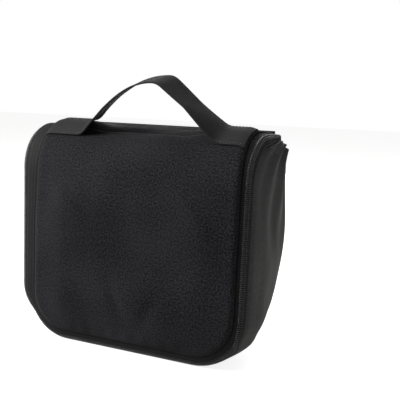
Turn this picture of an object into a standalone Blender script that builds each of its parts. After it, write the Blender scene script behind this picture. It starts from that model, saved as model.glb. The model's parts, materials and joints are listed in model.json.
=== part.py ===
# Hanging toiletry bag: a soft box whose flap wraps over the top and down the front and
# zips round the front edge, with a webbing carry handle and a flip-out hanging hook.
# Metres, +X right, +Y back, +Z up. The bag stands on its base at Z = 0 and faces -Y.
import math
from collections import namedtuple

import bmesh
import bpy
from mathutils import Matrix, Vector

# Outer shape
BAG_WIDTH = 0.240           # across the side gussets
BAG_HEIGHT = 0.215          # floor to the top of the closed flap
FRONT_Y = -0.054            # outside of the front panel
TOP_BACK_Y = 0.041          # back edge of the top, where the flap hinges
BASE_BACK_Y = 0.012         # back edge of the base
TOP_FALL = 0.004            # how far the top falls towards its back edge
TOP_RADIUS = 0.048          # roll of the flap from the top to the front
FLAP_CORNER = 0.040         # bottom corners of the flap
BACK_CORNER = 0.050         # bottom corners of the back panel
BACK_LOW_PULL = (0.040, 0.040)      # Y and Z of the back panel's lower curve handle
BACK_HIGH_PULL = (0.073, 0.120)     # Y and Z of its upper curve handle

# Cloth layers
CLEARANCE = 0.0003          # between touching pieces
SHELL = 0.0008              # coated polyester outer
FOAM = 0.0020               # padding
LINING = 0.0004             # nylon lining
EDGE_INSET = 0.0015         # how far padding and lining stop short of the outer's edge

# Zip round the front edge. Across is measured outwards from the flap's seam in the
# plane of the flap, and depth is measured into the bag.
SEAM_TO_SIDE = 0.011        # flap seam to the outside of the gusset
SEAM_TO_GUSSET = 0.0135     # flap seam back to the gusset's front edge
FLAP_TAPE_START = (0.0006, 0.0014)
FLAP_TAPE_END = (0.0070, 0.0046)
FLAP_COIL_END = (0.0084, 0.0060)
BODY_COIL_END = (0.00993, 0.0079)
ZIP_GAP = 0.0005            # between a tape and a coil, and between the two coils
TAPE = 0.0006               # tape thickness
COIL = 0.0018               # coil thickness
ZIP_END_SPREAD = 0.45       # both tapes close up to this share at the hinge end

# Back panel and gusset
BACK_SEAM_INSET = 0.0045    # gusset's back edge inside the bag's widest point
GUSSET_CROWN = 0.0012
GUSSET_TOP_DROP = 0.021     # hinge down to the top of the gusset's back edge
PIPING = 0.0013             # radius of the hinge piping
HINGE_GAP = 0.0021          # hinge line to the cloth on either side of it
ZIP_TAB_WIDTH = 0.0098
ZIP_TAB_EDGE = 0.0007       # tab's outer edge inside the gusset's back edge
ZIP_TAB_TOP = 0.0075        # hinge down to the tab
ZIP_TAB_HEIGHT = 0.014
ZIP_TAB_THICK = 0.0010

# Inner front wall
WALL_BELOW_ROLL = 0.002     # top of the wall below the start of the flap's roll
WALL = 0.0006
WALL_EDGE = 0.0084          # across, from the flap's seam to the wall's edge
WALL_DEPTH = 0.0222         # depth of the wall's front face
HEM_HEIGHT = 0.016
HEM = 0.0012
BINDING_WIDTH = 0.0045

# Folds of the flap
FOLD_GAP = 0.0010
TOP_FOLD_SETBACK = 0.003    # first fold behind the roll

# Carry handle
WEBBING = 0.038
WEBBING_THICK = 0.0016
SEWN_LEFT = 0.0400          # length of strap that lies sewn on the flap
SEWN_RIGHT = 0.0225
HANDLE_PEAK_X = 0.020
HANDLE_RISE = 0.044
HANDLE_LEAN = -0.002
HANDLE_SPLIT = 0.022        # height up to which the strap stays with its ends
HANDLE_FOOT = 0.14          # share of each side's run that curves up from the flap
CREST_LEFT = 0.42           # share of each side's run that rounds the peak
CREST_RIGHT = 0.16
TILT_LEFT = 0.44            # angle at which the rising strap slopes to the front
TILT_PEAK = 0.19
TILT_RIGHT = 0.10
HANDLE_AXIS_RISE = 0.008

# Flap pocket, measured along the flap from the hinge
POCKET_PAST_ROLL = 0.003    # pocket's top edge past the start of the roll
POCKET_ABOVE_HOOK = 0.0078  # hook's ring up to the pocket's slider
POCKET_MARGIN = 0.006       # pocket's side edges inside the flap's seam
POCKET_TAPE = 0.0110
POCKET_COIL = 0.0048
POCKET_CLOTH = 0.0005

# Hook
HOOK_PIVOT_UP = 0.020       # above the flap's bottom seam
HOOK_BAR = 0.0022           # radius of the bar that the tab goes round
HOOK_BASE = 0.040
HOOK_BASE_HEIGHT = 0.019
HOOK_SLOT = 0.027
HOOK_SLOT_HEIGHT = 0.0040
HOOK_RING = 0.0155          # ring radius at the middle of the rod
HOOK_ROD = 0.0024
HOOK_MOUTH = math.radians(-12)
HOOK_ROOT = math.radians(262)
TAB_WIDTH = 0.025
TAB_THICK = 0.0012
TAB_LENGTH = 0.024
TAB_CLEARANCE = 0.0003
TAB_OPEN = 0.85             # radians of the turn left open beside the tail

# Sliders
SLIDER = (0.0070, 0.011, 0.0026)    # across, along and out from the coil
SLIDER_SETBACK = 0.008              # from the hinge, with the zip closed
PULL = (0.0056, 0.0170, 0.0012)
POCKET_SLIDER = (0.0110, 0.0072, 0.0024)
POCKET_SLIDER_INSET = 0.019         # from the pocket's side edge, with the zip closed
POCKET_PULL = (0.0100, 0.0048, 0.0010)

LABEL = (0.008, 0.014, 0.0003)      # blank label near the hinge

ARC_Y = FRONT_Y + TOP_RADIUS
ARC_Z = BAG_HEIGHT - TOP_RADIUS
HINGE = Vector((0, TOP_BACK_Y, BAG_HEIGHT - TOP_FALL))
FLAP_HALF = BAG_WIDTH / 2 - SEAM_TO_SIDE
SEAM_BOTTOM = SEAM_TO_SIDE
CORNER_X = FLAP_HALF - FLAP_CORNER
CORNER_Z = SEAM_BOTTOM + FLAP_CORNER
FOAM_DEPTH = SHELL + CLEARANCE
LINING_DEPTH = FOAM_DEPTH + FOAM + CLEARANCE
POCKET_DEPTH = LINING_DEPTH + LINING + CLEARANCE
HANDLE_ZONE = WEBBING / TOP_RADIUS     # angle of the roll that the strap is sewn to
FRONT_FOLD = (HANDLE_ZONE + math.pi / 2) / 2
TOP_FOLD_Y = ARC_Y + TOP_FOLD_SETBACK
WALL_HEIGHT = ARC_Z - WALL_BELOW_ROLL
BACK_HALF = BAG_WIDTH / 2 - BACK_SEAM_INSET
HANDLE_END = FLAP_HALF - EDGE_INSET
HANDLE_LIFT_LEFT = SEWN_LEFT - HANDLE_END
HANDLE_LIFT_RIGHT = HANDLE_END - SEWN_RIGHT
HOOK_TOP = SEAM_BOTTOM + HOOK_PIVOT_UP + HOOK_BASE_HEIGHT - HOOK_BAR + 2 * HOOK_RING + HOOK_ROD / 2
POCKET_COIL_Z = HOOK_TOP + POCKET_ABOVE_HOOK + POCKET_SLIDER[1] / 2
POCKET_HALF = FLAP_HALF - POCKET_MARGIN
MIDDLE = Vector((0, (FRONT_Y + TOP_BACK_Y) / 2, BAG_HEIGHT / 2))

# One place on the flap's edge: half width, Y and Z of the outer cloth, the direction
# outwards in the plane of the flap, the direction into the bag, and how far the zip
# tapes spread there.
Station = namedtuple("Station", "half y z out inward spread")


def top_station(y):
    share = (y - ARC_Y) / (TOP_BACK_Y - ARC_Y)
    slope = TOP_FALL / (TOP_BACK_Y - ARC_Y)
    inward = Vector((0, -slope, -1)).normalized()
    spread = 1 - (1 - ZIP_END_SPREAD) * share
    return Station(FLAP_HALF, y, BAG_HEIGHT - TOP_FALL * share, Vector((1, 0, 0)), inward, spread)


def arc_station(angle):
    inward = Vector((0, math.sin(angle), -math.cos(angle)))
    y = ARC_Y - TOP_RADIUS * math.sin(angle)
    z = ARC_Z + TOP_RADIUS * math.cos(angle)
    return Station(FLAP_HALF, y, z, Vector((1, 0, 0)), inward, 1.0)


def front_station(z):
    return Station(FLAP_HALF, FRONT_Y, z, Vector((1, 0, 0)), Vector((0, 1, 0)), 1.0)


def corner_station(angle):
    out = Vector((math.cos(angle), 0, -math.sin(angle)))
    x = CORNER_X + FLAP_CORNER * math.cos(angle)
    z = CORNER_Z - FLAP_CORNER * math.sin(angle)
    return Station(x, FRONT_Y, z, out, Vector((0, 1, 0)), 1.0)


def spaced(first, last, count):
    return [first + (last - first) * i / (count - 1) for i in range(count)]


def flap_top_stations(setback=0.0):
    first = TOP_BACK_Y - HINGE_GAP - setback
    return [top_station(y) for y in spaced(first, TOP_FOLD_Y + FOLD_GAP / 2, 3)]


def flap_corner_stations():
    last = FRONT_FOLD - FOLD_GAP / 2 / TOP_RADIUS
    return [top_station(TOP_FOLD_Y - FOLD_GAP / 2)] + [arc_station(a) for a in spaced(0, last, 7)]


def flap_front_stations():
    first = FRONT_FOLD + FOLD_GAP / 2 / TOP_RADIUS
    arc = [arc_station(a) for a in spaced(first, math.pi / 2, 3)]
    flat = [front_station(z) for z in spaced(ARC_Z, CORNER_Z, 4)[1:]]
    corner = [corner_station(a) for a in spaced(0, math.pi / 2, 7)[1:]]
    return arc + flat + corner


def edge_stations(hinge_gap):
    top = [top_station(y) for y in spaced(TOP_BACK_Y - hinge_gap, ARC_Y, 3)]
    arc = [arc_station(a) for a in spaced(0, math.pi / 2, 7)[1:]]
    flat = [front_station(z) for z in spaced(ARC_Z, CORNER_Z, 4)[1:]]
    corner = [corner_station(a) for a in spaced(0, math.pi / 2, 7)[1:]]
    return top + arc + flat + corner


def edge_point(station, side, offset):
    # A place off the flap's seam, offset = (across, depth), both closing up with the zip.
    across = offset[0] * station.spread
    depth = offset[1] * station.spread
    x = station.half + station.out.x * across
    y = station.y + station.inward.y * depth
    z = station.z + station.out.z * across + station.inward.z * depth
    return Vector((side * x, y, z))


def back_curve(t):
    # Side view of the back panel, from the base at t = 0 to the hinge at t = 1.
    points = ((BASE_BACK_Y, 0), BACK_LOW_PULL, BACK_HIGH_PULL, (HINGE.y, HINGE.z))
    weights = ((1 - t) ** 3, 3 * t * (1 - t) ** 2, 3 * t * t * (1 - t), t ** 3)
    return tuple(sum(w * p[i] for w, p in zip(weights, points)) for i in (0, 1))


def back_y(z):
    low, high = 0.0, 1.0
    for _ in range(40):
        middle = (low + high) / 2
        if back_curve(middle)[1] < z:
            low = middle
        else:
            high = middle
    return back_curve(low)[0]


# ---- building ----

def clear_scene():
    for item in list(bpy.data.objects):
        bpy.data.objects.remove(item, do_unlink=True)


def material(name, colour, roughness, metallic=0.0):
    found = bpy.data.materials.get(name)
    if found:
        return found
    made = bpy.data.materials.new(name)
    made.use_nodes = True
    shader = made.node_tree.nodes["Principled BSDF"]
    shader.inputs["Base Color"].default_value = (*colour, 1)
    shader.inputs["Roughness"].default_value = roughness
    shader.inputs["Metallic"].default_value = metallic
    made.diffuse_color = (*colour, 1)
    return made


FINISHES = {
    "oxford": ((0.018, 0.018, 0.020), 0.85),
    "gusset_cloth": ((0.030, 0.029, 0.029), 0.55),
    "lining": ((0.022, 0.022, 0.023), 0.60),
    "foam": ((0.300, 0.300, 0.300), 0.95),
    "webbing": ((0.026, 0.026, 0.027), 0.75),
    "zip_tape": ((0.016, 0.016, 0.016), 0.80),
    "zip_coil": ((0.020, 0.020, 0.022), 0.30),
    "binding": ((0.014, 0.014, 0.014), 0.70),
    "plastic": ((0.015, 0.015, 0.016), 0.35),
    "zinc": ((0.060, 0.060, 0.064), 0.30, 1.0),
    "label_cloth": ((0.500, 0.500, 0.490), 0.80),
}


def joint_empty(name, place, parent=None):
    empty = bpy.data.objects.new(name, None)
    empty.empty_display_size = 0.01
    bpy.context.collection.objects.link(empty)
    empty.location = place - (parent["place"] if parent else Vector())
    if parent:
        empty.parent = parent["empty"]
    return {"empty": empty, "place": place}


def finish(name, bm, finish_name, joint=None, smooth=40):
    mesh = bpy.data.meshes.new(name)
    if joint:
        bmesh.ops.translate(bm, verts=bm.verts, vec=-joint["place"])
    bm.to_mesh(mesh)
    bm.free()
    mesh.shade_smooth()
    mesh.set_sharp_from_angle(angle=math.radians(smooth))
    mesh.materials.append(material(finish_name, *FINISHES[finish_name]))
    made = bpy.data.objects.new(name, mesh)
    bpy.context.collection.objects.link(made)
    if joint:
        made.parent = joint["empty"]
    return made


def drape(rows, flip=False):
    # A grid laid through rows of points, its faces turned away from the bag's middle.
    bm = bmesh.new()
    across, along = len(rows[0]), len(rows)
    bmesh.ops.create_grid(bm, x_segments=across - 1, y_segments=along - 1, size=1)
    bm.verts.ensure_lookup_table()
    for vert, point in zip(bm.verts, (p for row in rows for p in row)):
        vert.co = point
    bm.normal_update()
    facing = sum((f.calc_center_median() - MIDDLE).dot(f.normal) * f.calc_area() for f in bm.faces)
    if (facing < 0) != flip:
        bmesh.ops.reverse_faces(bm, faces=bm.faces)
    bm.normal_update()
    return bm


def sheet(name, rows, depth, thick, finish_name, joint=None):
    # A closed layer of cloth that lies between depth and depth + thick below the rows.
    bm = drape(rows)
    moves = [(v, v.co - v.normal * depth) for v in bm.verts]
    for vert, place in moves:
        vert.co = place
    made = finish(name, bm, finish_name, joint)
    solid = made.modifiers.new("Solidify", "SOLIDIFY")
    solid.thickness = thick
    solid.offset = -1
    solid.use_even_offset = True
    return made


def panel_rows(stations, inset=0.0, depth=0.0, half=None, columns=5):
    # Rows across the flap, trimmed by the inset or cut to a half width, at a depth.
    rows = []
    for station in stations:
        edge = half or station.half - inset * station.out.x
        y = station.y + station.inward.y * depth
        z = station.z + station.inward.z * depth - inset * station.out.z
        rows.append([Vector((x, y, z)) for x in spaced(-edge, edge, columns)])
    return rows


def side_rows(stations, side, start, end):
    return [[edge_point(s, side, start), edge_point(s, side, end)] for s in stations]


def loop_rows(stations, start, end):
    # Down the left edge, along the bottom and up the right edge.
    left = side_rows(stations, -1, start, end)
    right = side_rows(stations, 1, start, end)
    return left + right[::-1]


def after(offset, target, gap):
    # The offset, moved by the gap towards the target.
    step = Vector((target[0] - offset[0], target[1] - offset[1])).normalized() * gap
    return (offset[0] + step.x, offset[1] + step.y)


def block(size, place, turn=Matrix.Identity(3), bevel=0.0004):
    bm = bmesh.new()
    bmesh.ops.create_cube(bm, size=1)
    bmesh.ops.scale(bm, vec=size, verts=bm.verts)
    bmesh.ops.bevel(bm, geom=bm.edges[:], offset=bevel, segments=1, affect="EDGES", profile=0.5)
    bmesh.ops.transform(bm, matrix=Matrix.Translation(place) @ turn.to_4x4(), verts=bm.verts)
    bmesh.ops.recalc_face_normals(bm, faces=bm.faces)
    return bm


# ---- body of the bag ----

def back_stations(inset):
    # Half width, Y and Z down one edge of the back panel, then round its corner.
    top = HINGE.z - GUSSET_TOP_DROP
    radius = BACK_CORNER - inset
    half = BACK_HALF - inset
    places = [(half, z) for z in spaced(top, BACK_CORNER, 12)]
    for angle in spaced(0, math.pi / 2, 7)[1:]:
        x = half - radius + radius * math.cos(angle)
        places.append((x, BACK_CORNER - radius * math.sin(angle)))
    return [(x, back_y(z), z) for x, z in places]


def make_back():
    inset = SHELL + LINING + 2 * CLEARANCE
    places = back_stations(inset)
    half = places[0][0]
    for name, trim, depth, thick, cloth in (
            ("back_panel", 0.0, 0.0, SHELL, "oxford"),
            ("back_foam", EDGE_INSET, FOAM_DEPTH, FOAM, "foam"),
            ("back_lining", EDGE_INSET, LINING_DEPTH, LINING, "lining")):
        high = HINGE.z - HINGE_GAP - (POCKET_DEPTH if depth else 0)
        top = [(half, back_y(z), z) for z in spaced(high, places[0][2], 3)[:-1]]
        rows = []
        for x, y, z in top + places:
            lift = trim if z < BACK_CORNER else 0
            rows.append([Vector((c, y, z + lift)) for c in spaced(-x + trim, x - trim, 5)])
        sheet(name, rows, depth, thick, cloth)


def make_gusset():
    gap = after((SEAM_TO_SIDE, SEAM_TO_GUSSET), (SEAM_TO_SIDE, 1), CLEARANCE)
    front = edge_stations(HINGE_GAP)
    back = back_stations(0)
    halves = []
    for side in (-1, 1):
        rows = []
        for station, (x, y, z) in zip(front, back):
            start = edge_point(station, side, gap)
            end = Vector((side * x, y, z))
            out = Vector((side * station.out.x, 0, station.out.z))
            crown = GUSSET_CROWN * max(0, station.out.x)
            rows.append([start.lerp(end, s) + out * crown * math.sin(math.pi * s)
                         for s in (0, 0.33, 0.67, 1)])
        halves.append(rows)
    rows = halves[0] + halves[1][::-1]
    sheet("gusset", rows, 0, SHELL, "gusset_cloth")
    sheet("gusset_lining", rows, SHELL + CLEARANCE, LINING, "lining")


def wall_stations():
    flat = [front_station(z) for z in spaced(WALL_HEIGHT, CORNER_Z, 4)]
    return flat + [corner_station(a) for a in spaced(0, math.pi / 2, 7)[1:]]


def make_wall():
    rows = []
    for station in wall_stations():
        end = edge_point(station, 1, (WALL_EDGE, WALL_DEPTH))
        rows.append([Vector((x, end.y, end.z)) for x in spaced(-end.x, end.x, 3)])
    sheet("front_wall", rows, 0, WALL, "lining")
    face = FRONT_Y + WALL_DEPTH - CLEARANCE
    half = FLAP_HALF + WALL_EDGE - BINDING_WIDTH - 2 * CLEARANCE
    centre = Vector((0, face - HEM / 2, WALL_HEIGHT - HEM_HEIGHT / 2))
    finish("front_wall_hem", block((2 * half, HEM, HEM_HEIGHT), centre), "binding")
    start = (WALL_EDGE - BINDING_WIDTH, WALL_DEPTH - CLEARANCE - HEM)
    end = (WALL_EDGE, WALL_DEPTH - CLEARANCE - HEM)
    sheet("front_wall_binding", loop_rows(wall_stations(), start, end), 0, HEM, "binding")


def make_body_zip():
    stations = edge_stations(HINGE_GAP)
    side = (SEAM_TO_SIDE, SEAM_TO_GUSSET)
    start = after(FLAP_COIL_END, BODY_COIL_END, ZIP_GAP)
    sheet("body_zip_coil", loop_rows(stations, start, BODY_COIL_END), 0, COIL, "zip_coil")
    start = after(BODY_COIL_END, side, 1.6 * ZIP_GAP)
    sheet("body_zip_tape", loop_rows(stations, start, side), 0, TAPE, "zip_tape")


def make_hinge_line():
    bm = bmesh.new()
    half = FLAP_HALF - EDGE_INSET
    bmesh.ops.create_cone(bm, cap_ends=True, segments=10, radius1=PIPING, radius2=PIPING, depth=2 * half)
    turn = Matrix.Translation(HINGE) @ Matrix.Rotation(math.pi / 2, 4, "Y")
    bmesh.ops.transform(bm, matrix=turn, verts=bm.verts)
    finish("hinge_piping", bm, "binding")
    high = HINGE.z - ZIP_TAB_TOP
    for side, name in ((-1, "zip_tab_left"), (1, "zip_tab_right")):
        edge = BACK_HALF - ZIP_TAB_EDGE
        rows = []
        for z in spaced(high, high - ZIP_TAB_HEIGHT, 3):
            y = back_y(z) + ZIP_TAB_THICK + 2 * CLEARANCE
            rows.append([Vector((side * x, y, z)) for x in (edge - ZIP_TAB_WIDTH, edge)])
        sheet(name, rows, 0, ZIP_TAB_THICK, "binding")


# ---- flap ----

def make_flap_part(part, stations, inner, joint):
    sheet(f"{part}_shell", panel_rows(stations), 0, SHELL, "oxford", joint)
    sheet(f"{part}_foam", panel_rows(inner, EDGE_INSET, FOAM_DEPTH), 0, FOAM, "foam", joint)
    sheet(f"{part}_lining", panel_rows(inner, EDGE_INSET, LINING_DEPTH), 0, LINING, "lining", joint)
    coil_start = after(FLAP_TAPE_END, FLAP_COIL_END, ZIP_GAP)
    if part == "flap_front":
        tape = loop_rows(stations, FLAP_TAPE_START, FLAP_TAPE_END)
        coil = loop_rows(stations, coil_start, FLAP_COIL_END)
        sheet("flap_front_tape", tape, 0, TAPE, "zip_tape", joint)
        sheet("flap_front_coil", coil, 0, COIL, "zip_coil", joint)
        return
    for side, word in ((-1, "left"), (1, "right")):
        tape = side_rows(stations, side, FLAP_TAPE_START, FLAP_TAPE_END)
        coil = side_rows(stations, side, coil_start, FLAP_COIL_END)
        sheet(f"{part}_tape_{word}", tape, 0, TAPE, "zip_tape", joint)
        sheet(f"{part}_coil_{word}", coil, 0, COIL, "zip_coil", joint)


def make_pocket(corner_joint, front_joint):
    first = POCKET_PAST_ROLL / TOP_RADIUS
    half_gap = FOLD_GAP / 2 / TOP_RADIUS
    corner = [arc_station(a) for a in spaced(first, FRONT_FOLD - half_gap, 6)]
    rows = panel_rows(corner, 0, POCKET_DEPTH, POCKET_HALF, 3)
    sheet("pocket_panel_corner", rows, 0, POCKET_CLOTH, "lining", corner_joint)
    high = POCKET_COIL_Z + POCKET_COIL / 2 + POCKET_TAPE + 2 * CLEARANCE
    front = [arc_station(a) for a in spaced(FRONT_FOLD + half_gap, math.pi / 2, 3)]
    front += [front_station(z) for z in spaced(ARC_Z, high, 2)[1:]]
    rows = panel_rows(front, 0, POCKET_DEPTH, POCKET_HALF, 3)
    sheet("pocket_panel_front", rows, 0, POCKET_CLOTH, "lining", front_joint)
    for name, height, thick, cloth in (
            ("pocket_tape_upper", POCKET_TAPE, TAPE, "zip_tape"),
            ("pocket_coil", POCKET_COIL, COIL, "zip_coil"),
            ("pocket_tape_lower", POCKET_TAPE, TAPE, "zip_tape")):
        high -= CLEARANCE
        band = [front_station(z) for z in (high, high - height)]
        rows = panel_rows(band, 0, POCKET_DEPTH, POCKET_HALF, 2)
        sheet(name, rows, 0, thick, cloth, front_joint)
        high -= height


def make_label(joint):
    middle = (TOP_BACK_Y + ARC_Y) / 2
    stations = [top_station(middle + shift) for shift in (LABEL[1] / 2, -LABEL[1] / 2)]
    rows = panel_rows(stations, 0, POCKET_DEPTH, LABEL[0] / 2, 2)
    sheet("blank_label", rows, 0, LABEL[2], "label_cloth", joint)


# ---- carry handle ----

def handle_share(x):
    # From 0 where the strap lifts off the flap to 1 at its peak, on either side.
    lift = HANDLE_LIFT_LEFT if x < HANDLE_PEAK_X else HANDLE_LIFT_RIGHT
    return min(1.0, max(0.0, (x - lift) / (HANDLE_PEAK_X - lift)))


def handle_height(x):
    share = handle_share(x)
    crest = CREST_LEFT if x < HANDLE_PEAK_X else CREST_RIGHT
    slope = 1 / (1 - HANDLE_FOOT / 2 - crest / 2)
    if share < HANDLE_FOOT:
        rise = slope * share ** 2 / (2 * HANDLE_FOOT)
    elif share > 1 - crest:
        rise = 1 - slope * (1 - share) ** 2 / (2 * crest)
    else:
        rise = slope * (share - HANDLE_FOOT / 2)
    return HANDLE_RISE * rise


def handle_tilt(x):
    side = TILT_LEFT if x < HANDLE_PEAK_X else TILT_RIGHT
    share = handle_share(x)
    return side + (TILT_PEAK - side) * share * share * (3 - 2 * share)


def handle_row(x):
    # The strap follows the flap's roll where it is sewn and flattens as it rises.
    height = handle_height(x)
    free = min(1.0, height / HANDLE_SPLIT)
    centre_angle = HANDLE_ZONE / 2
    radius = TOP_RADIUS + CLEARANCE + WEBBING_THICK
    tilt = centre_angle * (1 - free) + handle_tilt(x) * free
    centre_y = ARC_Y - radius * math.sin(centre_angle) + HANDLE_LEAN * height / HANDLE_RISE
    centre_z = ARC_Z + radius * math.cos(centre_angle) + height
    bend = (1 - free) / radius
    row = []
    for across in spaced(-WEBBING / 2, WEBBING / 2, 7):
        angle = bend * across
        ahead = math.sin(angle) / bend if bend > 1e-6 else across
        drop = (1 - math.cos(angle)) / bend if bend > 1e-6 else 0.0
        y = centre_y - ahead * math.cos(tilt) + drop * math.sin(tilt)
        z = centre_z - ahead * math.sin(tilt) - drop * math.cos(tilt)
        row.append(Vector((x, y, z)))
    return row


def strap_split(lift):
    # Where the rising strap reaches HANDLE_SPLIT, between its lift-off and its peak.
    low, high = lift, HANDLE_PEAK_X
    for _ in range(40):
        middle = (low + high) / 2
        if handle_height(middle) < HANDLE_SPLIT:
            low = middle
        else:
            high = middle
    return low


def make_handle(corner_joint, handle_joint):
    left, right = strap_split(HANDLE_LIFT_LEFT), strap_split(HANDLE_LIFT_RIGHT)
    gap = 5 * CLEARANCE
    for name, places, joint in (
            ("handle_end_left", spaced(-HANDLE_END, left - gap, 10), corner_joint),
            ("carry_handle", spaced(left, right, 17), handle_joint),
            ("handle_end_right", spaced(right + gap, HANDLE_END, 10), corner_joint)):
        sheet(name, [handle_row(x) for x in places], 0, WEBBING_THICK, "webbing", joint)


# ---- hook ----

def tab_radii():
    # The tab clears the corners of the bar, which is square.
    inner = HOOK_BAR * math.sqrt(2) + TAB_CLEARANCE
    return inner, inner + TAB_THICK


def hook_pivot():
    return Vector((0, FRONT_Y + POCKET_DEPTH + tab_radii()[1], SEAM_BOTTOM + HOOK_PIVOT_UP))


def guide(name, bm, place):
    mesh = bpy.data.meshes.new(name)
    bm.to_mesh(mesh)
    bm.free()
    made = bpy.data.objects.new(name, mesh)
    bpy.context.collection.objects.link(made)
    made.location = place
    made.hide_render = True
    made.display_type = "WIRE"
    return made


def ring_rod(centre_z):
    # The open ring of the hook, a round rod swept round the arc.
    curve = bpy.data.curves.new("hook_rod", "CURVE")
    curve.dimensions = "3D"
    curve.bevel_depth = HOOK_ROD
    curve.bevel_resolution = 2
    curve.use_fill_caps = True
    spline = curve.splines.new("POLY")
    angles = spaced(HOOK_MOUTH, HOOK_ROOT, 25)
    spline.points.add(len(angles) - 1)
    for point, angle in zip(spline.points, angles):
        x = HOOK_RING * math.cos(angle)
        z = centre_z + HOOK_RING * math.sin(angle)
        point.co = (x, 0, z, 1)
    made = bpy.data.objects.new("hook_rod", curve)
    bpy.context.collection.objects.link(made)
    depsgraph = bpy.context.evaluated_depsgraph_get()
    bm = bmesh.new()
    bm.from_mesh(made.evaluated_get(depsgraph).to_mesh())
    bmesh.ops.remove_doubles(bm, verts=bm.verts, dist=1e-6)
    bmesh.ops.recalc_face_normals(bm, faces=bm.faces)
    bpy.data.objects.remove(made, do_unlink=True)
    return bm


def make_hook(joint):
    pivot = joint["place"]
    thick = 2 * HOOK_BAR
    top = HOOK_BASE_HEIGHT - HOOK_BAR
    base = block((HOOK_BASE, thick, HOOK_BASE_HEIGHT), Vector((0, 0, top - HOOK_BASE_HEIGHT / 2)),
                 bevel=0.0012)
    hook = finish("garment_hook", base, "plastic")
    hook.parent = joint["empty"]
    slot = block((HOOK_SLOT, 3 * thick, HOOK_SLOT_HEIGHT),
                 Vector((0, 0, HOOK_BAR + HOOK_SLOT_HEIGHT / 2)), bevel=0.0008)
    cut = hook.modifiers.new("Slot", "BOOLEAN")
    cut.operation = "DIFFERENCE"
    cut.object = guide("slot_cutter", slot, pivot)
    join = hook.modifiers.new("Ring", "BOOLEAN")
    join.operation = "UNION"
    join.object = guide("ring_guide", ring_rod(top + HOOK_RING - HOOK_ROD / 2), pivot)


def make_hook_tab(joint):
    # Webbing sewn to the flap's lining, its end turned round the bar of the hook.
    inner, outer = tab_radii()
    turn = spaced(math.pi, 3 * math.pi - TAB_OPEN, 17)
    outline = [(-outer, TAB_LENGTH), (-inner, TAB_LENGTH)]
    outline += [(inner * math.cos(a), inner * math.sin(a)) for a in turn]
    outline += [(outer * math.cos(a), outer * math.sin(a)) for a in turn[::-1]]
    bm = bmesh.new()
    verts = [bm.verts.new((-TAB_WIDTH / 2, y, z)) for y, z in outline[:-1]]
    grown = bmesh.ops.extrude_face_region(bm, geom=[bm.faces.new(verts)])
    moved = [g for g in grown["geom"] if isinstance(g, bmesh.types.BMVert)]
    bmesh.ops.translate(bm, verts=moved, vec=(TAB_WIDTH, 0, 0))
    bmesh.ops.recalc_face_normals(bm, faces=bm.faces)
    bmesh.ops.translate(bm, verts=bm.verts, vec=hook_pivot())
    finish("hook_tab", bm, "webbing", joint)


# ---- sliders ----

def main_slider_frame():
    # The slider stands on the body's row of the coil, clear of the flap's row.
    near, far = top_station(TOP_BACK_Y - SLIDER_SETBACK), top_station(ARC_Y)
    edge = after(FLAP_COIL_END, BODY_COIL_END, ZIP_GAP)
    along = (edge_point(far, -1, edge) - edge_point(near, -1, edge)).normalized()
    down = edge_point(near, -1, BODY_COIL_END) - edge_point(near, -1, edge)
    up = down.cross(along).normalized()
    across = along.cross(up).normalized()
    start = edge_point(near, -1, edge) + across * SLIDER[0] / 2
    return start, along, up, Matrix((across, along, up)).transposed()


def make_main_slider(slider_joint, pull_joint):
    start, along, up, turn = main_slider_frame()
    place = start + up * (SLIDER[2] / 2 + 2 * CLEARANCE)
    finish("main_slider", block(SLIDER, place, turn), "zinc", slider_joint)
    place = pull_joint["place"] - along * (PULL[1] - PULL[2]) / 2
    finish("main_pull", block(PULL, place, turn), "zinc", pull_joint)


def pocket_slider_place():
    y = FRONT_Y + POCKET_DEPTH + COIL + CLEARANCE
    return Vector((POCKET_SLIDER_INSET - POCKET_HALF, y, POCKET_COIL_Z))


def make_pocket_slider(slider_joint, pull_joint):
    x, y, z = pocket_slider_place()
    size = (POCKET_SLIDER[0], POCKET_SLIDER[2], POCKET_SLIDER[1])
    finish("pocket_slider", block(size, Vector((x, y + size[1] / 2, z))), "zinc", slider_joint)
    size = (POCKET_PULL[0], POCKET_PULL[2], POCKET_PULL[1])
    place = pull_joint["place"] + Vector(((size[0] - size[1]) / 2, 0, 0))
    finish("pocket_pull", block(size, place, bevel=0.0003), "zinc", pull_joint)


def fold_place():
    # Hinge of the lower fold: it turns the front panel's top edge from the closed roll to
    # the line of the opened flap without stretching the cloth between them.
    turn = math.pi / 2 - HANDLE_ZONE / 2
    start = arc_station(HANDLE_ZONE)
    length = TOP_RADIUS * (math.pi / 2 - HANDLE_ZONE)
    mean = HANDLE_ZONE * 0.75
    end = Vector((start.y - length * math.cos(mean), start.z - length * math.sin(mean)))
    edge = Vector((FRONT_Y, ARC_Z))
    chord = end - edge
    side = Vector((chord.y, -chord.x)).normalized()
    centre = (edge + end) / 2 + side * chord.length / 2 / math.tan(turn / 2)
    return Vector((0, centre.x, centre.y))


def handle_axis():
    angle = HANDLE_ZONE / 2
    y = ARC_Y - TOP_RADIUS * math.sin(angle)
    z = ARC_Z + TOP_RADIUS * math.cos(angle) + HANDLE_AXIS_RISE
    return Vector((0, y, z))


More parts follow.
